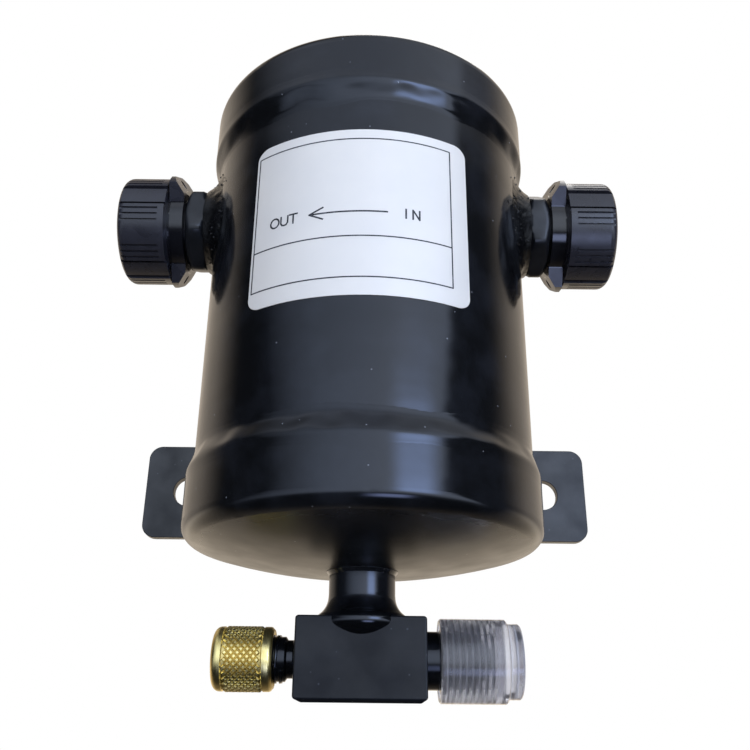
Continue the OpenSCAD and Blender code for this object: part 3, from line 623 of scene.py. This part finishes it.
def knurl_growth():
    """Tree for a diamond knurl round X: small pyramids in staggered rows."""
    if "diamond_knurl" in bpy.data.node_groups:
        return bpy.data.node_groups["diamond_knurl"]
    tree, given = new_growth("diamond_knurl", ("Around", "Int"), ("Rows", "Int"), ("Radius", "Float"),
                             ("Step", "Float"), ("Width", "Float"), ("Height", "Float"),
                             ("Start", "Vector"), ("Finish", "Material"))
    index, around = add(tree, "GeometryNodeInputIndex").outputs[0], given["Around"]
    row = maths(tree, "FLOOR", maths(tree, "DIVIDE", index, around))
    # Every other row is shifted by half a diamond
    odd = maths(tree, "MODULO", row, 2.0)
    shifted = maths(tree, "MULTIPLY_ADD", odd, 0.5, maths(tree, "MODULO", index, around))
    angle = maths(tree, "MULTIPLY", maths(tree, "DIVIDE", shifted, around), 2 * math.pi)
    along = maths(tree, "MULTIPLY", row, given["Step"])
    deep = maths(tree, "MULTIPLY", maths(tree, "COSINE", angle), given["Radius"])
    high = maths(tree, "MULTIPLY", maths(tree, "SINE", angle), given["Radius"])
    spot = add(tree, "ShaderNodeCombineXYZ", {0: along, 1: deep, 2: high})
    points = add(tree, "GeometryNodePoints", {
        "Count": maths(tree, "MULTIPLY", around, given["Rows"]), "Position": spot.outputs[0]})
    lean = add(tree, "ShaderNodeCombineXYZ", {0: maths(tree, "SUBTRACT", angle, math.pi / 2)})
    stud = add(tree, "GeometryNodeMeshCone", {
        "Vertices": 4, "Radius Top": maths(tree, "MULTIPLY", given["Width"], 0.5),
        "Radius Bottom": given["Width"], "Depth": given["Height"]})
    studs = add(tree, "GeometryNodeInstanceOnPoints", {
        "Points": points.outputs[0], "Instance": stud.outputs[0], "Rotation": lean.outputs[0]})
    laid = add(tree, "GeometryNodeTransform", {"Geometry": studs.outputs[0], "Translation": given["Start"]})
    dress(tree, realized(tree, laid.outputs[0]), given["Finish"])
    return tree


def spatter_growth():
    """Tree for weld spatter: small beads scattered over a weld with a fixed seed."""
    if "weld_spatter" in bpy.data.node_groups:
        return bpy.data.node_groups["weld_spatter"]
    tree, given = new_growth("weld_spatter", ("Weld", "Geometry"), ("Bead", "Float"), ("Density", "Float"),
                             ("Seed", "Int"), ("Finish", "Material"))
    spots = add(tree, "GeometryNodeDistributePointsOnFaces", {
        "Mesh": given["Weld"], "Density": given["Density"], "Seed": given["Seed"]})
    ball = add(tree, "GeometryNodeMeshIcoSphere", {"Radius": given["Bead"], "Subdivisions": 2})
    sizes = add(tree, "FunctionNodeRandomValue", {2: 0.45, 3: 1.3, "Seed": given["Seed"]}, data_type="FLOAT")
    beads = add(tree, "GeometryNodeInstanceOnPoints", {
        "Points": spots.outputs[0], "Instance": ball.outputs[0], "Scale": sizes.outputs[1]})
    smooth = add(tree, "GeometryNodeSetShadeSmooth", {"Geometry": realized(tree, beads.outputs[0])})
    both = add(tree, "GeometryNodeJoinGeometry", {0: smooth.outputs[0]})
    tree.links.new(given["Weld"], both.inputs[0])
    dress(tree, both.outputs[0], given["Finish"])
    return tree


def joined(*meshes):
    """Several meshes as one."""
    shape = bmesh.new()
    for mesh in meshes:
        shape.from_mesh(mesh)
    made = bpy.data.meshes.new("joined")
    shape.to_mesh(made)
    shape.free()
    return made


class SEPARATOR_OT_shell(bpy.types.Operator):
    """Enamels the tube and the drawn end caps, and lays the two seam welds"""

    bl_idname = "separator.shell"
    bl_label = "Shell"

    def execute(self, context):
        look = context.scene.separator_shell
        paint(gloss_enamel(), "shell_tube", "top_cap")
        paint(gloss_enamel("gloss_enamel_dry_underside", 0.2), "bottom_cap")
        for name, node, (skirt, end) in (("upper_seam", "top_seam_weld", UPPER_SEAM),
                                         ("lower_seam", "bottom_seam_weld", LOWER_SEAM)):
            rows = [self.outline(look, 2 * math.pi * i / SEAM_STEPS, skirt, end) for i in range(SEAM_STEPS)]
            keep(name, ringed(name, rows), gloss_enamel(), "shell_paint", "vessel", node)
        return {"FINISHED"}

    def outline(self, look, angle, skirt, end):
        """A seam's outline: a soft roll off the skirt, a plain slope and a hollow toe on the tube."""

        def ease(t):
            return math.log1p(math.exp(8 * t)) / 8

        way = Vector((math.cos(angle), math.sin(angle), 0))
        base = Vector((AXIS.x, AXIS.y, skirt))
        # The toe wanders, as a hand-laid seam does
        rise = (end - skirt) * (1 + 0.3 * noise.noise(way * 3.4 + base * 90))
        row, last = [], 26
        for k in range(last + 1):
            x = 2.15 * k / last - 0.75
            fall = ease(x) - ease(x - 1)
            r = SKIRT_R - (SKIRT_R - TUBE_R) * fall + 0.15 * MM * math.exp(-(x / 0.35) ** 2)
            point = base + Vector((0, 0, rise * x)) + way * (r - (0.03 * MM if k in (0, last) else 0))
            bow = math.sin(math.pi * min(1.0, max(0.0, x)))
            row.append(point + way * look.seam_lump * bow * noise.noise(point / (6 * MM)))
        return row + [base + way * (TUBE_R - 0.3 * MM)]


class SEPARATOR_OT_plate(bpy.types.Operator):
    """Rounds and paints the mounting plate, and lays its two hidden welds"""

    bl_idname = "separator.plate"
    bl_label = "Mounting plate"

    def execute(self, context):
        look = context.scene.separator_shell
        finish = satin_enamel("satin_enamel_on_plate", 0.5)
        keep("wall_plate", softened("mounting_plate", look.plate_edge), finish, "plate_paint", "vessel",
             "mounting_plate")
        paint(weld_enamel(), "plate_weld_left", "plate_weld_right")
        return {"FINISHED"}


def port_weld(side):
    """Outlines of the saddle weld between a side port and the shell."""
    look = bpy.context.scene.separator_shell
    neck_r, root_r, last = 11.7 * MM, 10.4 * MM, 14
    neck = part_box("inlet_weld")[1].x - 0.05 * MM
    rows = []
    for i in range(WELD_STEPS):
        angle = 2 * math.pi * i / WELD_STEPS
        way = Vector((0, math.sin(angle), math.cos(angle)))
        wander = 0.6 * MM * noise.noise(way * 2.2 + Vector((side, 0, 0)))
        r = look.port_toe + look.port_spread * way.y ** 2 + wander
        climb = min(1.0, max(0.0, (PORT_Z + r * way.z - UPPER_SEAM[1]) / (UPPER_SEAM[0] - UPPER_SEAM[1])))
        wall = TUBE_R + (SKIRT_R - TUBE_R) * climb - 0.05 * MM
        base = Vector((0, AXIS.y, PORT_Z))
        toe = base + Vector((side * math.sqrt(wall ** 2 - (r * way.y) ** 2), 0, 0)) + way * r
        end = base + Vector((side * neck, 0, 0)) + way * neck_r
        out = (way + Vector((side, 0, 0))).normalized()
        row = []
        for k in range(last + 1):
            bow = math.sin(math.pi * k / last)
            point = toe.lerp(end, k / last) - out * 0.11 * (end - toe).length * bow
            wave = noise.noise(point / (2.6 * MM)) + 0.5 * noise.noise(point / MM)
            row.append(point + out * look.port_lump * bow * wave)
        rows.append(row + [base + Vector((side * (TUBE_R - 1.2 * MM), 0, 0)) + way * root_r])
    return rows


class SEPARATOR_OT_side_ports(bpy.types.Operator):
    """Makes the two side ports: painted hexagons, rough saddle welds with spatter, and screw threads"""

    bl_idname = "separator.side_ports"
    bl_label = "Side ports"

    def execute(self, context):
        look, port = context.scene.separator_shell, context.scene.separator_port
        for side, kind, seed, turn in ((1, "inlet", 3, 8), (-1, "outlet", 8, 4)):
            mesh = ringed(kind + "_saddle_weld", port_weld(side))
            mesh = grown(spatter_growth(), {"Bead": look.spatter, "Density": 110000.0, "Seed": seed,
                                            "Finish": weld_enamel()}, mesh)
            keep(kind + "_saddle_weld", mesh, weld_enamel(), "fitting_paint", "vessel", kind + "_weld")
            body, ridge = self.fitting(port, look.hex_edge, side, math.radians(turn))
            keep(kind + "_port", joined(body, ridge), satin_enamel("satin_enamel_on_port", 0.45),
                 "fitting_paint", "vessel", kind + "_fitting")
        return {"FINISHED"}

    def fitting(self, port, edge, side, turn):
        """Shank, hexagon with thick painted edges, and threaded stub of one port."""
        low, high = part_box("inlet_fitting")
        bore, shank, core = 6 * MM, 10.5 * MM, 9.5 * MM - port.ridge
        flat, top = 11 * MM, 12.35 * MM
        near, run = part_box("inlet_weld")[1].x - low.x, high.x - low.x
        far = near + 5 * MM
        profile = [(bore, 0), (shank, 0), (shank, near), (flat, near),
                   (flat + 0.5 * edge, near + 0.15 * edge), (top, near + edge), (top, far - 1.9 * edge),
                   (top - 0.3 * edge, far - 1.3 * edge), (flat + 0.3 * edge, far - 0.45 * edge),
                   (flat - 0.3 * edge, far), (core, far), (core, run - 1 * MM), (core - 0.5 * MM, run),
                   (bore, run)]

        def flats(r, h, angle):
            if r < flat - edge:
                return r
            wall = flat / math.cos((angle - turn) % (math.pi / 3) - math.pi / 6)
            # The lesser of the two radii, with the paint's thick round edge between them
            soft = 0.18 * MM
            return -soft * math.log(math.exp(-r / soft) + math.exp(-wall / soft))

        along = Vector((side, 0, 0))
        body = turned("fitting", profile, Vector((side * low.x, AXIS.y, PORT_Z)), along, 240, 50, flats)
        turns = (run - far - 2.4 * MM) / port.pitch
        first = low.x + far + 1.2 * MM
        start = first if side > 0 else -first - turns * port.pitch
        return body, thread(core, port.ridge, port.pitch, turns, start, PORT_Z)


class SEPARATOR_OT_dust_caps(bpy.types.Operator):
    """Rounds the moulded dust caps of the side ports and gives them their plastic"""

    bl_idname = "separator.dust_caps"
    bl_label = "Dust caps"

    def execute(self, context):
        port = context.scene.separator_port
        for kind in ("inlet", "outlet"):
            mesh = softened(kind + "_dust_cap", port.edge, segments=2)
            keep(kind + "_cap_moulding", mesh, moulded_plastic(), "cap_plastic", kind + "_cap",
                 kind + "_dust_cap")
        return {"FINISHED"}


class SEPARATOR_OT_stem(bpy.types.Operator):
    """Enamels the oil stem and its weld ring, and makes the braze flare on the tee"""

    bl_idname = "separator.stem"
    bl_label = "Oil stem"

    def execute(self, context):
        paint(gloss_enamel(), "oil_stem", "stem_weld_ring")
        look = context.scene.separator_tee
        r, roll = reach("oil_stem", 0) + 0.03 * MM, look.flare_roll
        top = look.flare_height
        # A hollow sweep off the stem, then a roll over the block's edge that ends in a drip on its face
        profile = [(r - 0.6 * MM, top)]
        profile += [(r + top + top * math.cos(a), top + top * math.sin(a))
                    for a in [math.radians(180 + 5 * k) for k in range(12)]]
        lean = math.radians(35)
        middle_r = profile[-1][0] - roll * math.sin(lean)
        middle_h = profile[-1][1] - roll * math.cos(lean)
        profile += [(middle_r + roll * math.sin(a), middle_h + roll * math.cos(a))
                    for a in [lean + math.radians(8 * k) for k in range(1, 13)]]
        profile += [(reach("tee_block", 1) - 0.3 * MM, -look.flare_drip), (r - 0.6 * MM, -look.flare_drip)]
        start = Vector((AXIS.x, AXIS.y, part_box("tee_block")[1].z))
        mesh = turned("braze_flare", profile, start, Vector((0, 0, 1)), 180, 50)
        keep("braze_flare", mesh, gloss_enamel(), "tee_paint", "vessel", "stem_braze")
        return {"FINISHED"}


class SEPARATOR_OT_tee(bpy.types.Operator):
    """Rounds and paints the tee block"""

    bl_idname = "separator.tee"
    bl_label = "Tee block"

    def execute(self, context):
        look = context.scene.separator_tee
        finish = satin_enamel("satin_enamel_on_tee", 0.21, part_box("tee_block")[0].z)
        keep("tee_casting", softened("tee_block", look.block_edge), finish, "tee_paint", "vessel",
             "tee_block")
        return {"FINISHED"}


class SEPARATOR_OT_service_valve(bpy.types.Operator):
    """Makes the service port with its screw thread, valve core, pin and the knurled brass cap"""

    bl_idname = "separator.service_valve"
    bl_label = "Service valve"

    def execute(self, context):
        look = context.scene.separator_tee
        low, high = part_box("service_port")
        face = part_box("tee_block")[0].x
        bore = reach("valve_core", 2) + 0.02 * MM
        passage = reach("valve_pin", 2) + 0.4 * MM
        major, neck = reach("service_port", 2), 4.9 * MM
        ridge = 0.5 * MM
        core = major - ridge
        start = Vector((high.x, AXIS.y, TEE_Z))
        root, end = high.x - face, high.x - low.x
        step, waist = root + 2.5 * MM, neck - 0.6 * MM
        seat = high.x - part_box("valve_core")[1].x
        profile = [(passage, 0), (neck - 0.8 * MM, 0), (neck - 0.8 * MM, root), (neck, root),
                   (waist, root + 0.7 * MM), (waist, step - 0.5 * MM), (core, step), (core, end - 0.6 * MM),
                   (core - 0.5 * MM, end), (bore, end), (bore, seat), (passage, seat)]
        body = turned("service_stub", profile, start, Vector((-1, 0, 0)))
        turns = (end - step - 1.6 * MM) / look.service_pitch
        screw = thread(core, ridge, look.service_pitch, turns, low.x + 0.8 * MM, TEE_Z)
        keep("service_stub", joined(body, screw), gloss_enamel(), "tee_paint", "vessel", "service_port")
        brass = plain_metal("machined_valve_brass", "#cfae62", "#9d7a35", 0.32, 2)
        steel = plain_metal("bright_pin_steel", "#c3c6cb", "#8f949b", 0.28, 1.5)
        paint(brass, "valve_core", "valve_seat")
        paint(steel, "valve_pin", "needle", "pivot_pin")
        self.brass_cap(look)
        return {"FINISHED"}

    def brass_cap(self, look):
        """The turned cap: rounded end, two plain bands and a knurl between them."""
        low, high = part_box("service_cap")
        r, run = reach("service_cap", 2), high.x - low.x
        bore, floor = reach("service_port", 2) + 0.1 * MM, run - 1.6 * MM
        near, far = 2.5 * MM, run - 2.6 * MM
        sunk = r - 0.34 * MM
        profile = [(0, floor), (bore, floor), (bore, 0.4 * MM), (bore + 0.35 * MM, 0), (r - 0.7 * MM, 0),
                   (r - 0.12 * MM, 0.55 * MM), (r, 0.85 * MM), (r, near - 0.25 * MM), (sunk, near),
                   (sunk, far), (r, far + 0.25 * MM)]
        edge = 1.7 * MM
        profile += [(r - edge + edge * math.cos(a), run - edge + edge * math.sin(a))
                    for a in [math.radians(10 * k) for k in range(10)]]
        profile += [(r - edge - 1.2 * MM, run), (0, run)]
        start = Vector((high.x, AXIS.y, TEE_Z))
        body = turned("brass_cap", profile, start, Vector((-1, 0, 0)), 192)
        around = round(2 * math.pi * r / look.knurl)
        rows = 2 * round((far - near) / look.knurl) - 1
        step = (far - near) / (rows + 1)
        knurl = grown(knurl_growth(), {
            "Around": around, "Rows": rows, "Radius": sunk - 0.06 * MM, "Step": step, "Width": step,
            "Height": look.knurl_height, "Start": (high.x - far + step, AXIS.y, TEE_Z),
            "Finish": turned_brass()})
        knurl.shade_flat()
        keep("brass_cap", joined(body, knurl), turned_brass(), "cap_brass", "service_cap", "service_cap")
        paint(plain_moulding("moulded_nitrile_rubber", "#1b1b1c", "#2b2b2d", 0.6, 0.6), "service_gasket")


class SEPARATOR_OT_return_port(bpy.types.Operator):
    """Makes the oil return port with its screw thread and flare nose, and its frosted cap"""

    bl_idname = "separator.return_port"
    bl_label = "Oil return port"

    def execute(self, context):
        look = context.scene.separator_tee
        low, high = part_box("return_port")
        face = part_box("tee_block")[1].x
        major, neck, bore = reach("return_port", 2), 6.55 * MM, 3.5 * MM
        ridge = 0.75 * MM
        core = major - ridge
        start = Vector((low.x, AXIS.y, TEE_Z))
        root, end = face - low.x, high.x - low.x
        step, nose = root + 3.5 * MM, end - 3.6 * MM
        profile = [(bore, 0), (neck - 0.8 * MM, 0), (neck - 0.8 * MM, root), (neck, root),
                   (neck, step - 0.4 * MM), (core, step), (core, nose), (core - 0.15 * MM, nose),
                   (4.45 * MM, end - 0.3 * MM), (4.1 * MM, end), (bore, end)]
        body = turned("return_stub", profile, start, Vector((1, 0, 0)))
        turns = (nose - step - 0.9 * MM) / look.return_pitch
        screw = thread(core, ridge, look.return_pitch, turns, low.x + step + 0.45 * MM, TEE_Z)
        keep("return_stub", joined(body, screw), gloss_enamel(), "tee_paint", "vessel", "return_port")
        self.clear_cap(look, major + 0.1 * MM)
        return {"FINISHED"}

    def clear_cap(self, look, bore):
        """The moulded cap: thread rings inside, a shoulder, and a reduced end with a hollow."""
        low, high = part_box("return_cap")
        r, run, soft = reach("return_cap", 2), high.x - low.x, look.cap_edge
        step_r, shoulder = r - 1 * MM, run - 3.2 * MM
        floor, hollow = shoulder - 1.2 * MM, run - 1.8 * MM
        profile = [(bore + soft, 0)]
        rings = int((floor - 1.6 * MM) / look.return_pitch)
        for i in range(rings):
            near = 1.2 * MM + i * look.return_pitch
            profile += [(bore, near), (bore + 0.34 * MM, near + look.return_pitch / 2)]
        profile += [(bore, 1.2 * MM + rings * look.return_pitch), (bore, floor - soft), (bore - soft, floor),
                    (0, floor), (0, hollow), (step_r - 2.4 * MM, hollow), (step_r - 1.2 * MM, run - soft),
                    (step_r - 0.9 * MM, run), (step_r - soft, run), (step_r, run - soft),
                    (step_r, shoulder + 0.2 * MM), (step_r + 0.2 * MM, shoulder), (r - soft, shoulder),
                    (r, shoulder - soft), (r, soft), (r - soft, 0)]
        mesh = turned("clear_cap", profile, Vector((low.x, AXIS.y, TEE_Z)), Vector((1, 0, 0)), 128, 25)
        keep("clear_cap", mesh, frosted_plastic(), "clear_plastic", "return_cap", "return_cap")


def stroke(points, width, closed=False):
    """Flat quads along a line of (across, up) points, as corner lists."""
    quads, count = [], len(points)
    for i in range(count if closed else count - 1):
        a, b = Vector(points[i]), Vector(points[(i + 1) % count])
        parts = max(1, math.ceil((b - a).length / MM))
        side = (b - a).normalized().orthogonal() * width / 2
        tip = (b - a).normalized() * width * 0.3
        for k in range(parts):
            p, q = a.lerp(b, k / parts), a.lerp(b, (k + 1) / parts)
            p, q = (p - tip if k == 0 else p), (q + tip if k == parts - 1 else q)
            quads.append([p - side, q - side, q + side, p + side])
    return quads


class SEPARATOR_OT_label(bpy.types.Operator):
    """Gives the sticker its film and prints its frame lines, flow arrow and port words"""

    bl_idname = "separator.label"
    bl_label = "Flow label"

    def execute(self, context):
        look = context.scene.separator_label
        paint(label_film(), "label")
        low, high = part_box("label")
        left, right = -28.7 * MM, 21.0 * MM
        top, rule, bottom = high.z - 2.7 * MM, low.z + 15.3 * MM, low.z + 4.6 * MM
        row, h = low.z + 21.9 * MM, look.letter / 2
        quads = []
        frame_lines = [((left, z), (right, z)) for z in (top, rule, bottom)]
        for ends in frame_lines + [((x, bottom), (x, top)) for x in (left, right)]:
            quads += stroke(ends, look.line)
        tip, tail = -13.5 * MM, 5.0 * MM
        quads += stroke([(tail, row), (tip, row)], look.stroke)
        barb, half = tip + 3.4 * MM, 1.6 * MM
        quads += stroke([(barb, row + half), (tip, row), (barb, row - half)], look.stroke)
        letters = [(-22.7, [[(0.95 * h * math.cos(a), h * math.sin(a))
                             for a in [math.radians(15 * k) for k in range(25)]]]),
                   (-20.0, [[(-0.75 * h, h), (-0.75 * h, -0.45 * h), (-0.45 * h, -0.9 * h), (0, -h),
                             (0.45 * h, -0.9 * h), (0.75 * h, -0.45 * h), (0.75 * h, h)]]),
                   (-17.6, [[(-0.85 * h, h), (0.85 * h, h)], [(0, h), (0, -h)]]),
                   (9.4, [[(0, h), (0, -h)]]),
                   (11.9, [[(-0.65 * h, -h), (-0.65 * h, h), (0.65 * h, -h), (0.65 * h, h)]])]
        for place, lines in letters:
            for line in lines:
                quads += stroke([(place * MM + x, row + z) for x, z in line], look.stroke)
        r = AXIS.y - low.y + 0.02 * MM
        points, faces = [], []
        box_faces = ((0, 1, 2, 3), (7, 6, 5, 4), (0, 4, 5, 1), (1, 5, 6, 2), (2, 6, 7, 3), (3, 7, 4, 0))
        for quad in quads:
            first = len(points)
            for lift in (0.0, -0.015 * MM):
                points += [Vector((AXIS.x + (r + lift) * math.sin(p.x / TUBE_R),
                                   AXIS.y - (r + lift) * math.cos(p.x / TUBE_R), p.y)) for p in quad]
            faces += [[first + k for k in face] for face in box_faces]
        mesh = bpy.data.meshes.new("label_print")
        mesh.from_pydata(points, [], faces)
        keep("label_print", mesh, printing_ink(), "label_film", "vessel")
        return {"FINISHED"}


class SEPARATOR_OT_inside(bpy.types.Operator):
    """Finishes the screens, the baffles and the float valve inside the shell"""

    bl_idname = "separator.inside"
    bl_label = "Inside"

    def execute(self, context):
        paint(plain_metal("perforated_stainless", "#b9bcc0", "#83878d", 0.34, 3),
              "inlet_screen", "outlet_screen")
        paint(plain_metal("pickled_steel_sheet", "#8b9097", "#5f646b", 0.45, 5),
              "centre_baffle", "sump_baffle", "float_bracket", "float_arm")
        paint(plain_moulding("moulded_float_nylon", "#d9d3c2", "#c8c1ad", 0.45, 1.2), "float_ball")
        return {"FINISHED"}


class SEPARATOR_OT_stage(bpy.types.Operator):
    """Sets the camera, the pale floor, the room and the lamp over the part"""

    bl_idname = "separator.stage"
    bl_label = "Stage"

    def execute(self, context):
        look, scene = context.scene.separator_stage, context.scene
        scene.view_settings.view_transform = "Standard"
        self.camera(look, scene)
        self.floor(look, scene)
        self.room(look, scene)
        self.lamp(look, scene)
        return {"FINISHED"}

    def camera(self, look, scene):
        """A close camera in front of the part and below its lower end, looking up."""
        data = bpy.data.cameras.new("camera")
        data.lens, data.sensor_width, data.sensor_fit = look.lens, 36.0, "HORIZONTAL"
        data.clip_start, data.clip_end = 0.005, 50.0
        camera = bpy.data.objects.new("camera", data)
        ahead = Vector((0, math.cos(look.pitch), math.sin(look.pitch)))
        right = ahead.cross(Vector((0, 0, 1))).normalized()
        up = right.cross(ahead)
        across = right * math.cos(look.roll) + up * math.sin(look.roll)
        above = up * math.cos(look.roll) - right * math.sin(look.roll)
        turn = Matrix((across, above, -ahead)).transposed().to_4x4()
        camera.matrix_world = Matrix.Translation(look.place) @ turn
        scene.collection.objects.link(camera)
        scene.camera = camera

    def floor(self, look, scene):
        """A round pale floor just below the part, which keeps its shadow."""
        shape = bmesh.new()
        bmesh.ops.create_circle(shape, cap_ends=True, segments=96, radius=0.7,
                                matrix=Matrix.Translation((AXIS.x, AXIS.y, CAD_BOX[0].z - look.floor_drop)))
        mesh = bpy.data.meshes.new("floor")
        shape.to_mesh(mesh)
        shape.free()
        made, tree, shader, place = new_finish("pale_floor")
        # The camera sees a nearly white floor with a shadow, and the enamel mirrors the room below it
        rays = add(tree, "ShaderNodeLightPath").outputs
        fill(tree, shader, {
            "Base Color": blend(tree, waves(tree, place, 60 * MM, 4.0), look.floor, "#f7f5f2"),
            "Roughness": 0.7,
            "Emission Color": tint(look.floor),
            "Emission Strength": maths(tree, "MULTIPLY", rays["Is Camera Ray"], 0.35)})
        open_air = add(tree, "ShaderNodeBsdfTransparent")
        both = add(tree, "ShaderNodeMixShader", {0: rays["Is Glossy Ray"], 1: shader.outputs[0],
                                                 2: open_air.outputs[0]})
        tree.links.new(both.outputs[0], tree.nodes["Material Output"].inputs["Surface"])
        mesh.materials.append(made)
        floor = bpy.data.objects.new("floor", mesh)
        scene.collection.objects.link(floor)

    def room(self, look, scene):
        """A white background, and a room with a warm table behind the part, dark sides and a cool front."""
        world = bpy.data.worlds.new("room")
        scene.world = world
        world.use_nodes = True
        tree = world.node_tree
        tree.nodes.clear()
        way = add(tree, "ShaderNodeTexCoord").outputs["Generated"]
        side, depth, height = add(tree, "ShaderNodeSeparateXYZ", {0: way}).outputs
        angle = maths(tree, "ARCTAN2", side, maths(tree, "MULTIPLY", depth, -1.0))
        # The lower room widens above and below the height of its narrowest part
        apart = maths(tree, "ABSOLUTE", maths(tree, "SUBTRACT", height, 0.24))
        bent = maths(tree, "DIVIDE", angle, maths(tree, "MULTIPLY_ADD", apart, 1.07, 0.86))
        low = self.ramp(tree, bent, math.pi,
                        [(-1.0, "#161514"), (-66 / 180, "#1a1b1d"), (-46 / 180, "#8b93a1"),
                         (-30 / 180, "#b1bccd"), (0.0, "#d0dbed"), (24 / 180, "#e6f0ff"),
                         (52 / 180, "#d8e3f5"), (58 / 180, "#26282c"), (1.0, "#161514")])
        high = self.ramp(tree, angle, math.pi,
                         [(-1.0, "#55534f"), (-100 / 180, "#3a3a3c"), (-52 / 180, "#b4bac6"),
                          (0.0, "#bbc2cf"), (62 / 180, "#ccd2dc"), (90 / 180, "#9a9da4"), (1.0, "#55534f")])
        turn = blend(tree, remap(tree, height, 0.58, 0.72), low, high)
        rise = self.ramp(tree, height, 1.0,
                         [(-1.0, "#0c0c0c"), (-0.5, "#121212"), (-0.34, "#5a5a5a"), (-0.2, "#e0e0e0"),
                          (-0.06, "#ffffff"), (0.36, "#ffffff"), (0.64, "#d4d4d4"), (0.76, "#e6e6e6"),
                          (0.92, "#b4b4b4"), (1.0, "#aaaaaa")])
        lit = blend(tree, 1.0, turn, rise, blend_type="MULTIPLY")
        # Two soft panes of a cool window on the right, one level with the part and one below it
        for glow, shape in (((1.8, 2.3, 3.5), (32, 0.13, 18, 0.3)), ((1.1, 1.3, 2.1), (18, -0.54, 19, 0.2))):
            lit = blend(tree, self.pane(tree, angle, height, *shape), lit, glow)
        behind = remap(tree, depth, 0.02, 0.55, interpolation_type="SMOOTHSTEP")
        table = self.ramp(tree, height, 1.0, [(-1.0, "#38332d"), (-0.62, "#574f46"), (-0.32, "#ab9e8b"),
                                              (-0.16, "#cfc1ad"), (0.02, "#948a7e"), (1.0, "#948a7e")])
        around = add(tree, "ShaderNodeBackground", {"Color": blend(tree, behind, lit, table),
                                                    "Strength": look.room})
        white = add(tree, "ShaderNodeBackground", {"Color": (1, 1, 1, 1), "Strength": 1.0})
        rays = add(tree, "ShaderNodeLightPath").outputs
        clear = maths(tree, "MAXIMUM", rays["Is Camera Ray"], rays["Is Transmission Ray"])
        both = add(tree, "ShaderNodeMixShader", {0: clear, 1: around.outputs[0], 2: white.outputs[0]})
        add(tree, "ShaderNodeOutputWorld", {"Surface": both.outputs[0]})

    def pane(self, tree, angle, height, turn, lift, wide, tall):
        """A patch of the room that is 1 in its middle and fades to 0 at its edges."""
        shares = []
        for value, at, half in ((angle, math.radians(turn), math.radians(wide)), (height, lift, tall)):
            apart = maths(tree, "ABSOLUTE", maths(tree, "SUBTRACT", value, at))
            shares.append(remap(tree, apart, half, 0.3 * half, interpolation_type="SMOOTHSTEP"))
        return maths(tree, "MULTIPLY", *shares)

    def ramp(self, tree, value, half, stops):
        """Tones over a value that runs from -half to half, with stops given from -1 to 1."""
        node = add(tree, "ShaderNodeValToRGB", {"Fac": remap(tree, value, -half, half)})
        bar = node.color_ramp
        for at, _ in stops[2:]:
            bar.elements.new((at + 1) / 2)
        for element, (at, code) in zip(bar.elements, stops):
            element.position = (at + 1) / 2
            element.color = tint(code)
        return node.outputs[0]

    def lamp(self, look, scene):
        """A soft lamp over the part, a little behind it, for the floor's shadow."""
        data = bpy.data.lights.new("ceiling_lamp", "AREA")
        data.shape, data.size = "DISK", 0.8
        data.energy = look.lamp * math.pi * data.size ** 2
        lamp = bpy.data.objects.new("ceiling_lamp", data)
        way = Vector((0.15, 0.35, 0.92)).normalized()
        turn = way.to_track_quat("Z", "Y").to_matrix().to_4x4()
        lamp.matrix_world = Matrix.Translation(AXIS + way * 1.6) @ turn
        scene.collection.objects.link(lamp)


class SEPARATOR_PT_panel(bpy.types.Panel):
    """Sizes, colours and steps of the separator"""

    bl_idname = "SEPARATOR_PT_panel"
    bl_label = "Oil Separator"
    bl_space_type = "VIEW_3D"
    bl_region_type = "UI"
    bl_category = "Separator"

    def draw(self, context):
        for group in GROUPS:
            box = self.layout.box()
            box.label(text=group.__doc__)
            look = getattr(context.scene, GROUPS[group])
            for key in group.__annotations__:
                box.prop(look, key)
        for step in STEPS:
            self.layout.operator(step.bl_idname)


GROUPS = {ShellLook: "separator_shell", PortLook: "separator_port", TeeLook: "separator_tee",
          LabelLook: "separator_label", StageLook: "separator_stage"}
STEPS = (SEPARATOR_OT_shell, SEPARATOR_OT_plate, SEPARATOR_OT_side_ports, SEPARATOR_OT_dust_caps,
         SEPARATOR_OT_stem, SEPARATOR_OT_tee, SEPARATOR_OT_service_valve, SEPARATOR_OT_return_port,
         SEPARATOR_OT_label, SEPARATOR_OT_inside, SEPARATOR_OT_stage)


def register():
    for group, name in GROUPS.items():
        bpy.utils.register_class(group)
        setattr(bpy.types.Scene, name, bpy.props.PointerProperty(type=group))
    for item in STEPS + (SEPARATOR_PT_panel,):
        bpy.utils.register_class(item)


def unregister():
    for item in reversed(STEPS + (SEPARATOR_PT_panel,)):
        bpy.utils.unregister_class(item)
    for group, name in GROUPS.items():
        delattr(bpy.types.Scene, name)
        bpy.utils.unregister_class(group)


def main():
    """Registers the steps and runs them in order."""
    register()
    bpy.ops.separator.shell()
    bpy.ops.separator.plate()
    bpy.ops.separator.side_ports()
    bpy.ops.separator.dust_caps()
    bpy.ops.separator.stem()
    bpy.ops.separator.tee()
    bpy.ops.separator.service_valve()
    bpy.ops.separator.return_port()
    bpy.ops.separator.label()
    bpy.ops.separator.inside()
    bpy.ops.separator.stage()


if __name__ == "__main__":
    main()
